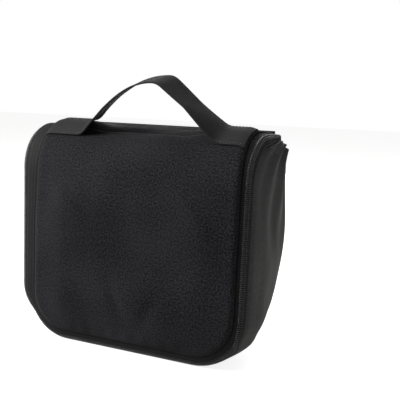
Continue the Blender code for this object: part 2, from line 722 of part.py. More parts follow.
def main():
    clear_scene()
    top = joint_empty("flap_hinge", HINGE)
    corner = joint_empty("top_fold", Vector((0, TOP_FOLD_Y, BAG_HEIGHT)), top)
    front = joint_empty("front_fold", fold_place(), corner)
    handle = joint_empty("handle_swing", handle_axis(), corner)
    hook = joint_empty("hook_flip", hook_pivot(), front)
    slider_start, _, up, _ = main_slider_frame()
    slider = joint_empty("slider_travel", slider_start)
    pull_place = slider_start + up * (SLIDER[2] + 4 * CLEARANCE + PULL[2] / 2)
    pull = joint_empty("pull_flip", pull_place, slider)
    pocket = joint_empty("pocket_slider_travel", pocket_slider_place(), front)
    pocket_axis = pocket_slider_place() + Vector((0, POCKET_SLIDER[2] + CLEARANCE + POCKET_PULL[2] / 2, 0))
    pocket_flip = joint_empty("pocket_pull_flip", pocket_axis, pocket)

    make_back()
    make_gusset()
    make_wall()
    make_body_zip()
    make_hinge_line()
    make_flap_part("flap_top", flap_top_stations(), flap_top_stations(POCKET_DEPTH), top)
    for part, stations, joint in (("flap_corner", flap_corner_stations(), corner),
                                  ("flap_front", flap_front_stations(), front)):
        make_flap_part(part, stations, stations, joint)
    make_pocket(corner, front)
    make_label(top)
    make_handle(corner, handle)
    make_hook(hook)
    make_hook_tab(front)
    make_main_slider(slider, pull)
    make_pocket_slider(pocket, pocket_flip)


main()
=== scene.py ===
import json
import math

import bmesh
import bpy
from mathutils import Matrix, Vector, noise


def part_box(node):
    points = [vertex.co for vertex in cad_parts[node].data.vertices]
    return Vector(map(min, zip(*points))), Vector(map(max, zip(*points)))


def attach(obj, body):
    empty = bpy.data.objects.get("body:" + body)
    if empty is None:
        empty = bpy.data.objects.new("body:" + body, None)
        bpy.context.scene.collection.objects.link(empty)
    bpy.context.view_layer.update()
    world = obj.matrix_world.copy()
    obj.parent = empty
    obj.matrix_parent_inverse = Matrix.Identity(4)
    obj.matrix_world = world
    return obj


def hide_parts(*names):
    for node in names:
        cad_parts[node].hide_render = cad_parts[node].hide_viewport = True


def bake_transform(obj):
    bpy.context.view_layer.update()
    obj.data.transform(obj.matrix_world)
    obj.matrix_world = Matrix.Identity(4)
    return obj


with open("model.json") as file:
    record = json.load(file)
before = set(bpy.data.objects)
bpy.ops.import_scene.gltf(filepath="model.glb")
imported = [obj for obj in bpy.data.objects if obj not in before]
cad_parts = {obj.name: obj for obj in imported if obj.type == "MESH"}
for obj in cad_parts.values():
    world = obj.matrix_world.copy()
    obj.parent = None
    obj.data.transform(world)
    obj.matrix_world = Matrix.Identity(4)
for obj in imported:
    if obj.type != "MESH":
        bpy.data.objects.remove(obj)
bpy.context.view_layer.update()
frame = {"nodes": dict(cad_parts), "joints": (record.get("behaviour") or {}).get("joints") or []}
print("frame loaded:", len(frame["nodes"]), "nodes")

# ---- sizes read from the frame ----

joints = {joint["name"]: joint for joint in frame["joints"]}
frontLow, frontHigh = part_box("flap_front_shell")
rollLow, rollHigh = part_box("flap_corner_shell")
wallLow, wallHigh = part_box("front_wall")
coilLow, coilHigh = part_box("pocket_coil")
tabLow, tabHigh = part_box("hook_tab")
bag = {
    "frontY": frontLow.y,
    "flapHalf": frontHigh.x,
    "seamZ": frontLow.z,
    "topZ": rollHigh.z,
    "hinge": Vector(joints["flap_hinge"]["pos_m"]),
    "hingeGap": 0.0021,        # hinge line to the cloth on either side of it
    "rollRadius": 0.048,       # roll of the flap from the top to the front
    "flapCorner": 0.040,
    "backCorner": 0.050,
    "backHalf": 0.1155,
    "backCurve": ((0.012, 0.0), (0.040, 0.040), (0.073, 0.120)),
    "gussetTop": 0.190,        # top of the gusset's back edge
    "zipSpread": 0.45,         # both tapes close up to this share at the hinge end
}
arcY = bag["frontY"] + bag["rollRadius"]
arcZ = bag["topZ"] - bag["rollRadius"]
cornerX = bag["flapHalf"] - bag["flapCorner"]
cornerZ = bag["seamZ"] + bag["flapCorner"]
topFall = bag["topZ"] - bag["hinge"].z
topRun = math.hypot(bag["hinge"].y - arcY, topFall)
rollRun = bag["rollRadius"] * math.pi / 2
frontRun = arcZ - cornerZ
cornerRun = bag["flapCorner"] * math.pi / 2
cornerStart = topRun + rollRun + frontRun
cornerEnd = cornerStart + cornerRun
halfRim = cornerEnd + cornerX
middle = Vector((0, (bag["frontY"] + bag["hinge"].y) / 2, bag["topZ"] / 2))

# Depth below the outer cloth, and places off the flap's seam as (across, depth).
layer = {"outer": 0.0, "padding": 0.0011, "lining": 0.0034, "pocket": 0.0041}
seamTo = {
    "tapeStart": (-0.0010, 0.0030),
    "tapeEnd": (0.0071, 0.0047),
    "flapCoil": (0.0084, 0.0060),
    "bodyCoil": (0.00993, 0.0079),
    "gusset": (0.0110, 0.0135),
}


def ease(value, low, high):
    share = min(1.0, max(0.0, (value - low) / (high - low)))
    return share * share * (3 - 2 * share)


def bump(value, centre, width):
    return math.exp(-((value - centre) / width) ** 2)


def between(value, knots):
    # straight lines through (value, result) pairs
    for (a, fromA), (b, fromB) in zip(knots, knots[1:]):
        if value <= b:
            return fromA + (fromB - fromA) * max(0.0, (value - a) / (b - a))
    return knots[-1][1]


def edgeAt(run):
    # The flap's seam on the +X side, a distance down from the hinge: its place, the
    # direction outwards, the direction into the bag and how far the zip tapes spread.
    if run < topRun:
        share = 1 - run / topRun
        slope = topFall / (bag["hinge"].y - arcY)
        inward = Vector((0, -slope, -1)).normalized()
        y = arcY + (bag["hinge"].y - arcY) * share
        place = Vector((bag["flapHalf"], y, bag["topZ"] - topFall * share))
        return place, Vector((1, 0, 0)), inward, 1 - (1 - bag["zipSpread"]) * share
    if run < topRun + rollRun:
        angle = (run - topRun) / bag["rollRadius"]
        inward = Vector((0, math.sin(angle), -math.cos(angle)))
        place = Vector((bag["flapHalf"], arcY, arcZ)) - inward * bag["rollRadius"]
        return place, Vector((1, 0, 0)), inward, 1.0
    inward = Vector((0, 1, 0))
    if run < cornerStart:
        place = Vector((bag["flapHalf"], bag["frontY"], arcZ - (run - topRun - rollRun)))
        return place, Vector((1, 0, 0)), inward, 1.0
    if run < cornerEnd:
        angle = (run - cornerStart) / bag["flapCorner"]
        out = Vector((math.cos(angle), 0, -math.sin(angle)))
        place = Vector((cornerX, bag["frontY"], cornerZ)) + out * bag["flapCorner"]
        return place, out, inward, 1.0
    place = Vector((max(0.0, cornerX - (run - cornerEnd)), bag["frontY"], bag["seamZ"]))
    return place, Vector((0, 0, -1)), inward, 1.0


def backAt(run):
    # The back panel's edge that the gusset reaches from the same distance down the seam.
    half, corner = bag["backHalf"], bag["backCorner"]
    if run < cornerStart:
        z = between(run, ((bag["hingeGap"], bag["gussetTop"]),
                          (topRun, bag["gussetTop"] - 2 / 11 * (bag["gussetTop"] - corner)),
                          (topRun + rollRun, bag["gussetTop"] - 8 / 11 * (bag["gussetTop"] - corner)),
                          (cornerStart, corner)))
        return Vector((half, backY(z), z))
    if run < cornerEnd:
        angle = (run - cornerStart) / bag["flapCorner"]
        z = corner - corner * math.sin(angle)
        return Vector((half - corner + corner * math.cos(angle), backY(z), z))
    share = 1 - (run - cornerEnd) / cornerX
    return Vector(((half - corner) * max(0.0, share), backY(0), 0))


def backY(z):
    # Side view of the back panel: a cubic curve from the base up to the hinge.
    points = (*bag["backCurve"], (bag["hinge"].y, bag["hinge"].z))
    low, high = 0.0, 1.0
    for _ in range(40):
        t = (low + high) / 2
        weights = ((1 - t) ** 3, 3 * t * (1 - t) ** 2, 3 * t * t * (1 - t), t ** 3)
        if sum(w * p[1] for w, p in zip(weights, points)) < z:
            low = t
        else:
            high = t
    return sum(w * p[0] for w, p in zip(weights, points))


# ---- how the soft bag sits ----

settle = {
    # the flap sits a little to the right, and its left seam is pulled in over the shoulder
    "leftPull": ((0.0, 0.004), (0.050, 0.0080), (0.120, 0.0085), (0.185, 0.0115), (0.215, 0.0100)),
    "rightPush": ((0.0, 0.003), (0.050, 0.003), (0.120, 0.003), (0.180, 0.003), (0.215, 0.001)),
    "belly": 0.0050, "drawIn": 0.0030,
    "edgeRound": 0.0022,       # the panel's edge turns down into its seam
    "edgeWidth": 0.0050,
    "crown": 0.0046,           # how far the padded front stands out at its middle
    "topSag": 0.0042,
    "dents": 0.0021,           # broad soft waves
    "hollow": 0.0026,          # the one dent at the right of the front
    "pucker": 0.00035,         # gathers along the seams
}


def down(x, z):
    # a place on the flap's front, as its side distance and its distance down the seam
    return x, topRun + rollRun + arcZ - z


# height, start, end and width of each soft fold in the front
# each crease: its height, its two ends and its width
creases = (
    (0.0024, down(-0.085, 0.165), down(0.045, 0.126), 0.015),
    (-0.0010, down(-0.020, 0.106), down(0.085, 0.074), 0.015),
    (-0.0018, down(0.004, 0.022), down(-0.016, 0.070), 0.0060),
    (-0.0017, down(0.014, 0.020), down(0.036, 0.062), 0.0060),
    (-0.0017, down(-0.074, 0.160), down(-0.030, 0.122), 0.0070),
    (0.0018, down(0.052, 0.160), down(0.086, 0.118), 0.0080),
)


def slumped(point):
    # How the worn bag leans: sideways only, and hardly at all near the hinge.
    near = 1 - 0.8 * ease(point.y, arcY, bag["hinge"].y)
    left = between(point.z, settle["leftPull"]) * near
    right = between(point.z, settle["rightPush"]) * near
    half = bag["flapHalf"]
    if point.x < -half:
        shift = left * ease(point.x, -half - 0.011, -half + 0.001)
    elif point.x < half:
        shift = left + (right - left) * ease(point.x, -half, -0.030)
    else:
        shift = right * (1 - ease(point.x, half, half + 0.008))
    # the right side bellies out at the back, above a corner that draws in
    behind = ease(point.y, -0.005, 0.040) * ease(point.x, half - 0.040, half + 0.004)
    bulge = settle["belly"] * bump(point.z, 0.105, 0.050)
    shift += behind * (bulge - settle["drawIn"] * bump(point.z, 0.026, 0.020))
    return point + Vector((shift, 0, 0))


def seamDistance(x, run):
    # from a place on the flap to its stitched edge, round the bottom corners too
    aside = bag["flapHalf"] - abs(x)
    if run < cornerStart:
        return min(aside, cornerEnd - run)
    z = edgeAt(run)[0].z
    pastX, pastZ = abs(x) - cornerX, cornerZ - z
    if pastX > 0 and pastZ > 0:
        return bag["flapCorner"] - math.hypot(pastX, pastZ)
    return min(aside, z - bag["seamZ"])


def crease(x, run, line):
    # 1 on a straight fold of the cloth, fading to its sides and its ends
    start, end, width = Vector(line[0]), Vector(line[1]), line[2]
    along = end - start
    share = min(1.0, max(0.0, (Vector((x, run)) - start).dot(along) / along.length_squared))
    away = (Vector((x, run)) - start - along * share).length
    return bump(away, 0, width) * (0.35 + 0.65 * math.sin(math.pi * share))


def swell(x, run):
    # How far the padded flap stands off its flat shape.
    edge = seamDistance(x, run)
    inner = ease(edge, 0.002, 0.042)
    front = ease(run, topRun + 0.040, topRun + 0.105)
    rise = settle["crown"] * inner * front
    wave = noise.noise(Vector((x * 15 + 1.7, run * 11, 4.2)))
    wave += 0.5 * noise.noise(Vector((x * 34, run * 27, 9.1)))
    rise += settle["dents"] * wave * inner * front
    rise -= (settle["hollow"] * inner * front * bump(x, 0.070, 0.032)
             * bump(run, topRun + rollRun + 0.068, 0.050))
    for height, *line in creases:
        rise += height * inner * front * crease(x, run, line)
    rise += 0.0016 * inner * front * bump(x, -0.055, 0.040) * bump(run, topRun + rollRun + 0.020, 0.045)
    free = 1 - ease(abs(x), 0.040, 0.072)
    top = ease(run, 0.004, 0.020) * (1 - ease(run, topRun + 0.018, topRun + 0.045))
    rise -= settle["topSag"] * free * top
    rise += 0.0009 * free * top * noise.noise(Vector((x * 40, run * 60, 2.3)))
    gather = math.sin(run * 410 + 2 * math.sin(run * 70)) if abs(x) > cornerX * 0.9 else math.sin(x * 380)
    rise += settle["pucker"] * gather * bump(edge, 0.006, 0.006) * front
    return rise


def flapPoint(x, run, depth, share=1.0):
    # a place on the flap at a depth below its outer cloth, with a share of its swell
    place, _, inward, _ = edgeAt(run)
    drop = settle["edgeRound"] * max(0.0, 1 - seamDistance(x, run) / settle["edgeWidth"]) ** 2
    point = Vector((x, place.y, place.z)) + inward * (depth + drop * share - swell(x, run) * share)
    return slumped(point)


def rimPoint(along, across, depth):
    # Off the seam, measured round it from the left end at the hinge to the right end.
    side = -1 if along < halfRim else 1
    place, out, inward, spread = edgeAt(min(along, 2 * halfRim - along))
    point = place + (out * across + inward * depth) * spread
    point.x *= side
    return slumped(point)


# ---- making and joining ----

def layGrid(bm, place, across, along, size, facing=1):
    # A sheet of cloth: place(u, v) gives each point for u and v from 0 to 1.
    verts = bmesh.ops.create_grid(bm, x_segments=across, y_segments=along, size=0.5)["verts"]
    faces = list(dict.fromkeys(face for vert in verts for face in vert.link_faces))
    uvs = bm.loops.layers.uv.verify()
    for face in faces:
        for loop in face.loops:
            loop[uvs].uv = ((loop.vert.co.x + 0.5) * size[0], (loop.vert.co.y + 0.5) * size[1])
    for vert in verts:
        vert.co = place(vert.co.x + 0.5, vert.co.y + 0.5)
    for face in faces:
        face.normal_update()
    outwards = sum((f.calc_center_median() - middle).dot(f.normal) * f.calc_area() for f in faces)
    if (outwards < 0) == (facing > 0):
        bmesh.ops.reverse_faces(bm, faces=faces)
    return verts


def toPiece(name, bm, finish, thick=0.0, sharp=None):
    mesh = bpy.data.meshes.new(name)
    bm.normal_update()
    bm.to_mesh(mesh)
    bm.free()
    mesh.shade_smooth()
    if sharp:
        mesh.set_sharp_from_angle(angle=math.radians(sharp))
    mesh.materials.append(finish)
    piece = bpy.data.objects.new(name, mesh)
    bpy.context.scene.collection.objects.link(piece)
    if thick:
        solid = piece.modifiers.new("Thickness", "SOLIDIFY")
        solid.thickness = thick
        solid.offset = -1
    return piece


def seamPoint(x, run):
    place = edgeAt(run)[0]
    return (x, place.y, place.z)


hingeY = bag["hinge"].y
def cutSize(first, last, seams, count=240):
    # The flat size of a cloth from its two seams alone, before it swells or folds:
    # its widest, its length along the middle and its area.
    pairs = [seams(first + (last - first) * i / count) for i in range(count + 1)]
    widths = [(b - a).length for a, b in pairs]
    middles = [(a + b) / 2 for a, b in pairs]
    lengths = [(b - a).length for a, b in zip(middles, middles[1:])]
    area = sum(step * (a + b) / 2 for step, a, b in zip(lengths, widths, widths[1:]))
    return max(widths), sum(lengths), area


bends = {
    "hinge": ("main_body", "flap_top", (0, hingeY, bag["hinge"].z), (0, hingeY - 0.009, bag["hinge"].z)),
    "fold": ("flap_top", "flap_corner", (0, 0.011, bag["topZ"]), (0, arcY, bag["topZ"])),
    "roll": ("flap_corner", "flap_front", seamPoint(0, topRun + 0.0385), seamPoint(0, topRun + rollRun)),
    "handle": ("flap_corner", "handle_loop", (0, -0.024, 0.2165), (0, -0.024, 0.2400)),
}


def fit(piece, slotName, body=None, bend=None, standsFor=()):
    if bend:
        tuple(bends[bend][2])
        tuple(bends[bend][3])
        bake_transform(piece)
    else:
        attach(piece, body)
    if standsFor:
        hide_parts(*standsFor)
    return piece


# The flap is cut in three along its run, and each cut joins the next without a gap.
sections = {
    "top": {"runs": (0.0006, topRun * 0.5), "bend": "hinge", "node": "flap_top"},
    "roll": {"runs": (topRun * 0.5, topRun + 0.022), "bend": "fold", "node": "flap_corner"},
    "front": {"runs": (topRun + 0.022, cornerEnd), "bend": "roll", "node": "flap_front"},
}

# ---- finishes ----


def linear(hexColour):
    parts = [int(hexColour[i:i + 2], 16) / 255 for i in (1, 3, 5)]
    return [p / 12.92 if p <= 0.04045 else ((p + 0.055) / 1.055) ** 2.4 for p in parts] + [1]


def bands(period):
    # scale of a wave texture whose ridges lie this far apart
    return math.pi / 10 / period


def add(tree, kind, inputs, **settings):
    node = tree.nodes.new(kind)
    for name, value in settings.items():
        setattr(node, name, value)
    for key, value in inputs.items():
        if isinstance(value, bpy.types.NodeSocket):
            tree.links.new(value, node.inputs[key])
        else:
            node.inputs[key].default_value = value
    return node


def newFinish(name, **values):
    made = bpy.data.materials.new(name)
    made.use_nodes = True
    shader = made.node_tree.nodes["Principled BSDF"]
    for key, value in values.items():
        shader.inputs[key.replace("_", " ")].default_value = value
    return made, made.node_tree, shader


def mottled(tree, shader, coords, look):
    # Two tones by a fine speckle, over a slow drift between worn and fresh.
    speck = add(tree, "ShaderNodeTexNoise", {"Vector": coords, "Scale": 1 / look["speck"], "Detail": 2.0})
    drift = add(tree, "ShaderNodeTexNoise", {"Vector": coords, "Scale": 1 / look["drift"], "Detail": 1.0})
    both = add(tree, "ShaderNodeMath", {0: drift.outputs["Fac"], 1: 0.35, 2: speck.outputs["Fac"]},
               operation="MULTIPLY_ADD")
    level = add(tree, "ShaderNodeMapRange", {"Value": both.outputs[0], "From Min": 0.50, "From Max": 0.85})
    tone = add(tree, "ShaderNodeMix", {0: level.outputs[0], 6: linear(look["dark"]),
                                       7: linear(look["light"])}, data_type="RGBA")
    tree.links.new(tone.outputs[2], shader.inputs["Base Color"])
    return speck.outputs["Fac"]


def weaveHeight(tree, coords, thread):
    # Plain weave: in turn the warp and the weft lie on top.
    warp = add(tree, "ShaderNodeTexWave", {"Vector": coords, "Scale": bands(thread)}, bands_direction="X")
    weft = add(tree, "ShaderNodeTexWave", {"Vector": coords, "Scale": bands(thread)}, bands_direction="Y")
    over = add(tree, "ShaderNodeTexChecker", {"Vector": coords, "Scale": 1 / thread})
    return add(tree, "ShaderNodeMix", {0: over.outputs["Fac"], 2: warp.outputs["Fac"],
                                       3: weft.outputs["Fac"]}).outputs[0]


def roughen(tree, shader, height, strength, distance, under=None):
    inputs = {"Height": height, "Strength": strength, "Distance": distance}
    if under:
        inputs["Normal"] = under
    made = add(tree, "ShaderNodeBump", inputs)
    tree.links.new(made.outputs["Normal"], shader.inputs["Normal"])
    return made.outputs["Normal"]


def makeOxford():
    # Coated polyester oxford: a dull grainy weave with a slight sheen at grazing angles.
    look = {"dark": "#010101", "light": "#242427", "speck": 0.0016, "drift": 0.070, "thread": 0.0012}
    made, tree, shader = newFinish("polyesterOxford", Roughness=0.78, Specular_IOR_Level=0.07,
                                   Sheen_Weight=0.02, Sheen_Roughness=0.45)
    coords = add(tree, "ShaderNodeTexCoord", {}).outputs["UV"]
    speck = mottled(tree, shader, coords, look)
    # threads are 0.6 mm apart; drawn twice as coarse so that they show
    under = roughen(tree, shader, weaveHeight(tree, coords, look["thread"]), 0.45, 0.0003)
    roughen(tree, shader, speck, 0.60, 0.0006, under)
    return made


def makeSatin():
    # Smooth polyester satin: lighter, with a soft shine and fine creases along it.
    look = {"dark": "#1c1a1a", "light": "#2b2929", "speck": 0.0040, "drift": 0.050, "thread": 0.0009}
    made, tree, shader = newFinish("polyesterSatin", Roughness=0.55, Specular_IOR_Level=0.24,
                                   Sheen_Weight=0.02, Sheen_Roughness=0.35)
    coords = add(tree, "ShaderNodeTexCoord", {}).outputs["UV"]
    mottled(tree, shader, coords, look)
    twill = add(tree, "ShaderNodeTexWave", {"Vector": coords, "Scale": bands(look["thread"])},
                bands_direction="DIAGONAL")
    under = roughen(tree, shader, twill.outputs["Fac"], 0.10, 0.0002)
    long = add(tree, "ShaderNodeMapping", {"Vector": coords, "Scale": (60, 14, 1)})
    crease = add(tree, "ShaderNodeTexNoise", {"Vector": long.outputs[0], "Scale": 1.0, "Detail": 3.0})
    roughen(tree, shader, crease.outputs["Fac"], 0.16, 0.0030, under)
    return made


def makeLining():
    # Nylon taffeta: thin, a little crisp, with small creases.
    look = {"dark": "#1b1b1c", "light": "#2b2b2d", "speck": 0.0030, "drift": 0.045, "thread": 0.0010}
    made, tree, shader = newFinish("nylonTaffeta", Roughness=0.55, Specular_IOR_Level=0.35,
                                   Sheen_Weight=0.10, Sheen_Roughness=0.40)
    coords = add(tree, "ShaderNodeTexCoord", {}).outputs["UV"]
    mottled(tree, shader, coords, look)
    under = roughen(tree, shader, weaveHeight(tree, coords, look["thread"]), 0.18, 0.0002)
    crease = add(tree, "ShaderNodeTexNoise", {"Vector": coords, "Scale": 42.0, "Detail": 4.0})
    roughen(tree, shader, crease.outputs["Fac"], 0.30, 0.0030, under)
    return made


def makeRibbed(name, dark, light, rib, weft, gloss, channelShade=0.25):
    # Narrow woven goods: ribs along the length, crossed by fine weft ridges, with painted shade in the
    # channels between the ribs.
    look = {"dark": dark, "light": light, "speck": 0.0014, "drift": 0.030}
    made, tree, shader = newFinish(name, Roughness=gloss, Specular_IOR_Level=0.16,
                                   Sheen_Weight=0.02, Sheen_Roughness=0.40)
    coords = add(tree, "ShaderNodeTexCoord", {}).outputs["UV"]
    mottled(tree, shader, coords, look)
    ribs = add(tree, "ShaderNodeTexWave", {"Vector": coords, "Scale": bands(rib)}, bands_direction="X")
    ridges = add(tree, "ShaderNodeTexWave", {"Vector": coords, "Scale": bands(weft)}, bands_direction="Y")
    # painted shade: the colour is darkened in the channels between the ribs, as if the ribs caught the light
    # and the channels stayed dark
    fleck = shader.inputs["Base Color"].links[0].from_socket
    shade = add(tree, "ShaderNodeMapRange", {"Value": ribs.outputs["Fac"], "To Min": 1 - channelShade,
                                             "To Max": 1.0})
    colourWithPaintedShade = add(tree, "ShaderNodeMix", {0: 1.0, 6: fleck, 7: shade.outputs[0]}, data_type="RGBA",
                blend_type="MULTIPLY")
    tree.links.new(colourWithPaintedShade.outputs[2], shader.inputs["Base Color"])
    under = roughen(tree, shader, ribs.outputs["Fac"], 0.45, 0.0004)
    roughen(tree, shader, ridges.outputs["Fac"], 0.50, 0.0003, under)
    return made


def makeSolid(name, dark, light, grain, strength, **values):
    # Moulded, cast or spun: two close tones and a fine grain in the surface.
    look = {"dark": dark, "light": light, "speck": grain, "drift": 0.012}
    made, tree, shader = newFinish(name, **values)
    coords = add(tree, "ShaderNodeTexCoord", {}).outputs["Object"]
    speck = mottled(tree, shader, coords, look)
    roughen(tree, shader, speck, strength, 0.0002)
    return made


oxford = makeOxford()
satin = makeSatin()
lining = makeLining()
# the last number, where given, is how dark the painted shade in the rib channels is; the zip tape's is the
# darkest
webbing = makeRibbed("polyesterWebbing", "#141414", "#222222", 0.0024, 0.0011, 0.74)
zipTape = makeRibbed("polyesterZipTape", "#070707", "#151515", 0.0019, 0.0014, 0.75, 0.80)
grosgrain = makeRibbed("polyesterGrosgrain", "#121213", "#222223", 0.0050, 0.0012, 0.66)
hemSatin = makeRibbed("satinHemTape", "#323233", "#434345", 0.0080, 0.0010, 0.50)
nylonCoil = makeSolid("nylonMonofilament", "#1a1a1b", "#303032", 0.0020, 0.05,
                      Roughness=0.32, Specular_IOR_Level=0.60)
thread = makeSolid("polyesterThread", "#1a1a1b", "#2d2d2f", 0.0006, 0.40, Roughness=0.50)
acetal = makeSolid("mouldedAcetal", "#121213", "#1c1c1e", 0.0008, 0.12, Roughness=0.36)
zinc = makeSolid("blackPlatedZinc", "#2e2e31", "#47474b", 0.0020, 0.06, Roughness=0.30, Metallic=1.0)
foam = makeSolid("polyesterFoam", "#6e6e6e", "#8c8c8c", 0.0012, 0.50, Roughness=0.95)
labelSatin = makeSolid("wovenLabel", "#a3a29d", "#bdbcb6", 0.0008, 0.30, Roughness=0.60)
print("finishes made:", len(bpy.data.materials))

# ---- flap ----

flap = {"step": 0.0028, "cloth": 0.0008, "padding": 0.0018, "lining": 0.0004, "trim": 0.0015}


def steps(length, step):
    return max(2, round(length / step))


def makeFlapLayer(name, part, depth, thick, finish, share, trim):
    start, end = part["runs"]
    # trimmed layers stop short of the bottom seam and start clear of the hinge
    first = start + (0.004 if trim and part["bend"] == "hinge" else 0)
    half = bag["flapHalf"]

    def place(u, v):
        run = first + (end - first) * v
        edge = edgeAt(run)[0].x - trim * edgeAt(run)[1].x
        point = flapPoint((2 * u - 1) * edge, run, depth, share)
        return point + Vector((0, 0, trim * -edgeAt(run)[1].z))

    bm = bmesh.new()
    layGrid(bm, place, steps(2 * half, flap["step"]), steps(end - first, flap["step"]),
            (2 * half, end - first))
    return toPiece(name, bm, finish, thick)


def makeFlap():
    for word, part in sections.items():
        node = part["node"]
        outer = makeFlapLayer(f"flap_{word}_cloth", part, layer["outer"], flap["cloth"], oxford, 1.0, 0)
        pad = makeFlapLayer(f"flap_{word}_padding", part, layer["padding"], flap["padding"], foam, 1.0,
                            flap["trim"])
        inner = makeFlapLayer(f"flap_{word}_lining_cloth", part, layer["lining"], flap["lining"], lining, 1.0,
                              flap["trim"])
        fit(outer, "outer_cloth", bend=part["bend"], standsFor=[f"{node}_shell"])
        fit(pad, "padding", bend=part["bend"], standsFor=[f"{node}_foam"])
        fit(inner, "lining_cloth", bend=part["bend"], standsFor=[f"{node}_lining"])


makeFlap()
print("flap made")

# ---- zip round the front edge ----

zipper = {"tape": 0.0006, "pitch": 0.00165, "tooth": (0.00165, 0.00058, 0.00085), "stitch": 0.0032}


def partRanges(part):
    # a section's stretches of the rim: one on each side, or one round the bottom
    start, end = part["runs"]
    if part["node"] == "flap_front":
        return [(start, 2 * halfRim - start)]
    return [(start, end), (2 * halfRim - end, 2 * halfRim - start)]


def layStrip(bm, rims, near, far, across=3):
    for first, last in rims:
        wide = math.hypot(far[0] - near[0], far[1] - near[1])

        def place(u, v):
            return rimPoint(first + (last - first) * v, near[0] + (far[0] - near[0]) * u,
                            near[1] + (far[1] - near[1]) * u)

        layGrid(bm, place, across, steps(last - first, 0.0030), (wide, last - first))


def frameAt(along, near, far, share=0.5):
    # A turned place on a strip: X across it, Y along it and Z standing out of it.
    def point(shift, part):
        return rimPoint(along + shift, near[0] + (far[0] - near[0]) * part,
                        near[1] + (far[1] - near[1]) * part)

    tangent = (point(0.0004, share) - point(-0.0004, share)).normalized()
    across = (point(0, 1.0) - point(0, 0.0)).normalized()
    out = across.cross(tangent).normalized()
    centre = point(0, share)
    if out.dot(centre - middle) < 0:
        out = -out
        across = -across
    across = tangent.cross(out).normalized()
    turn = Matrix((across, tangent, out)).transposed().to_4x4()
    return Matrix.Translation(centre) @ turn


def repeat(size, turns, sides=6):
    # one small rounded form, laid at every turned place
    one = bmesh.new()
    bmesh.ops.create_uvsphere(one, u_segments=sides, v_segments=sides, radius=1,
                              matrix=Matrix.Diagonal((*size, 1)))
    template = bpy.data.meshes.new("template")
    one.to_mesh(template)
    one.free()
    bm = bmesh.new()
    for _ in turns:
        bm.from_mesh(template)
    bm.verts.ensure_lookup_table()
    count = len(template.vertices)
    for i, turn in enumerate(turns):
        for vert in bm.verts[i * count:(i + 1) * count]:
            vert.co = turn @ vert.co
    bpy.data.meshes.remove(template)
    return bm


def teethAlong(rims, near, far, shift):
    turns = []
    for first, last in rims:
        count = int((last - first) / zipper["pitch"])
        for i in range(count):
            along = first + (i + 0.5 + shift) * (last - first) / count
            if 0.003 < along < 2 * halfRim - 0.003:
                spread = edgeAt(min(along, 2 * halfRim - along))[3]
                turns.append(frameAt(along, near, far) @ Matrix.Diagonal((min(1, spread + 0.1), 1, 1, 1)))
    return turns


def stitches(turns, long=0.0023, thick=0.00024):
    return repeat((thick, long / 2, thick), turns, 5)


def alongRims(rims, near, far, share=0.5):
    made = []
    for first, last in rims:
        count = int((last - first) / zipper["stitch"])
        made += [frameAt(first + (i + 0.5) * (last - first) / count, near, far, share) for i in range(count)]
    return made


def makeZip():
    for word, part in sections.items():
        node, rims = part["node"], partRanges(part)
        single = node == "flap_front"
        tapeNodes = [f"{node}_tape"] if single else [f"{node}_tape_left", f"{node}_tape_right"]
        coilNodes = [f"{node}_coil"] if single else [f"{node}_coil_left", f"{node}_coil_right"]
        bm = bmesh.new()
        layStrip(bm, rims, seamTo["tapeStart"], seamTo["tapeEnd"])
        tape = toPiece(f"flap_{word}_zip_tape", bm, zipTape, zipper["tape"])
        fit(tape, "zip_tape", bend=part["bend"], standsFor=tapeNodes)
        bm = repeat(zipper["tooth"], teethAlong(rims, seamTo["tapeEnd"], seamTo["flapCoil"], 0.0))
        teeth = toPiece(f"flap_{word}_zip_teeth", bm, nylonCoil)
        fit(teeth, "zip_coil", bend=part["bend"], standsFor=coilNodes)
        bm = stitches(alongRims(rims, seamTo["tapeStart"], seamTo["tapeEnd"], 0.86))
        sewn = toPiece(f"flap_{word}_zip_stitches", bm, thread)
        fit(sewn, "zip_tape", bend=part["bend"])
    whole = [(bag["hingeGap"], 2 * halfRim - bag["hingeGap"])]
    bm = bmesh.new()
    layStrip(bm, whole, (seamTo["bodyCoil"][0] + 0.0001, seamTo["bodyCoil"][1] + 0.0006), seamTo["gusset"], 4)
    tape = toPiece("body_zip_tape_cloth", bm, zipTape, zipper["tape"])
    fit(tape, "zip_tape", body="main_body", standsFor=["body_zip_tape"])
    bm = repeat(zipper["tooth"], teethAlong(whole, seamTo["flapCoil"], seamTo["bodyCoil"], 0.5))
    teeth = toPiece("body_zip_teeth", bm, nylonCoil)
    fit(teeth, "zip_coil", body="main_body", standsFor=["body_zip_coil"])
    rows = [alongRims(whole, seamTo["bodyCoil"], seamTo["gusset"], share) for share in (0.22, 0.80)]
    bm = stitches(rows[0] + rows[1])
    sewn = toPiece("body_zip_stitches", bm, thread)
    fit(sewn, "zip_tape", body="main_body")


makeZip()
print("zip made")

# ---- gusset and back ----

gusset = {
    "step": 0.0030, "across": 34, "cloth": 0.0008, "lining": 0.0004,
    "crown": 0.0052,           # stands out between its seams
    "folds": 0.0017,           # gathers below its narrow top
    "seamRound": 0.0024,
}


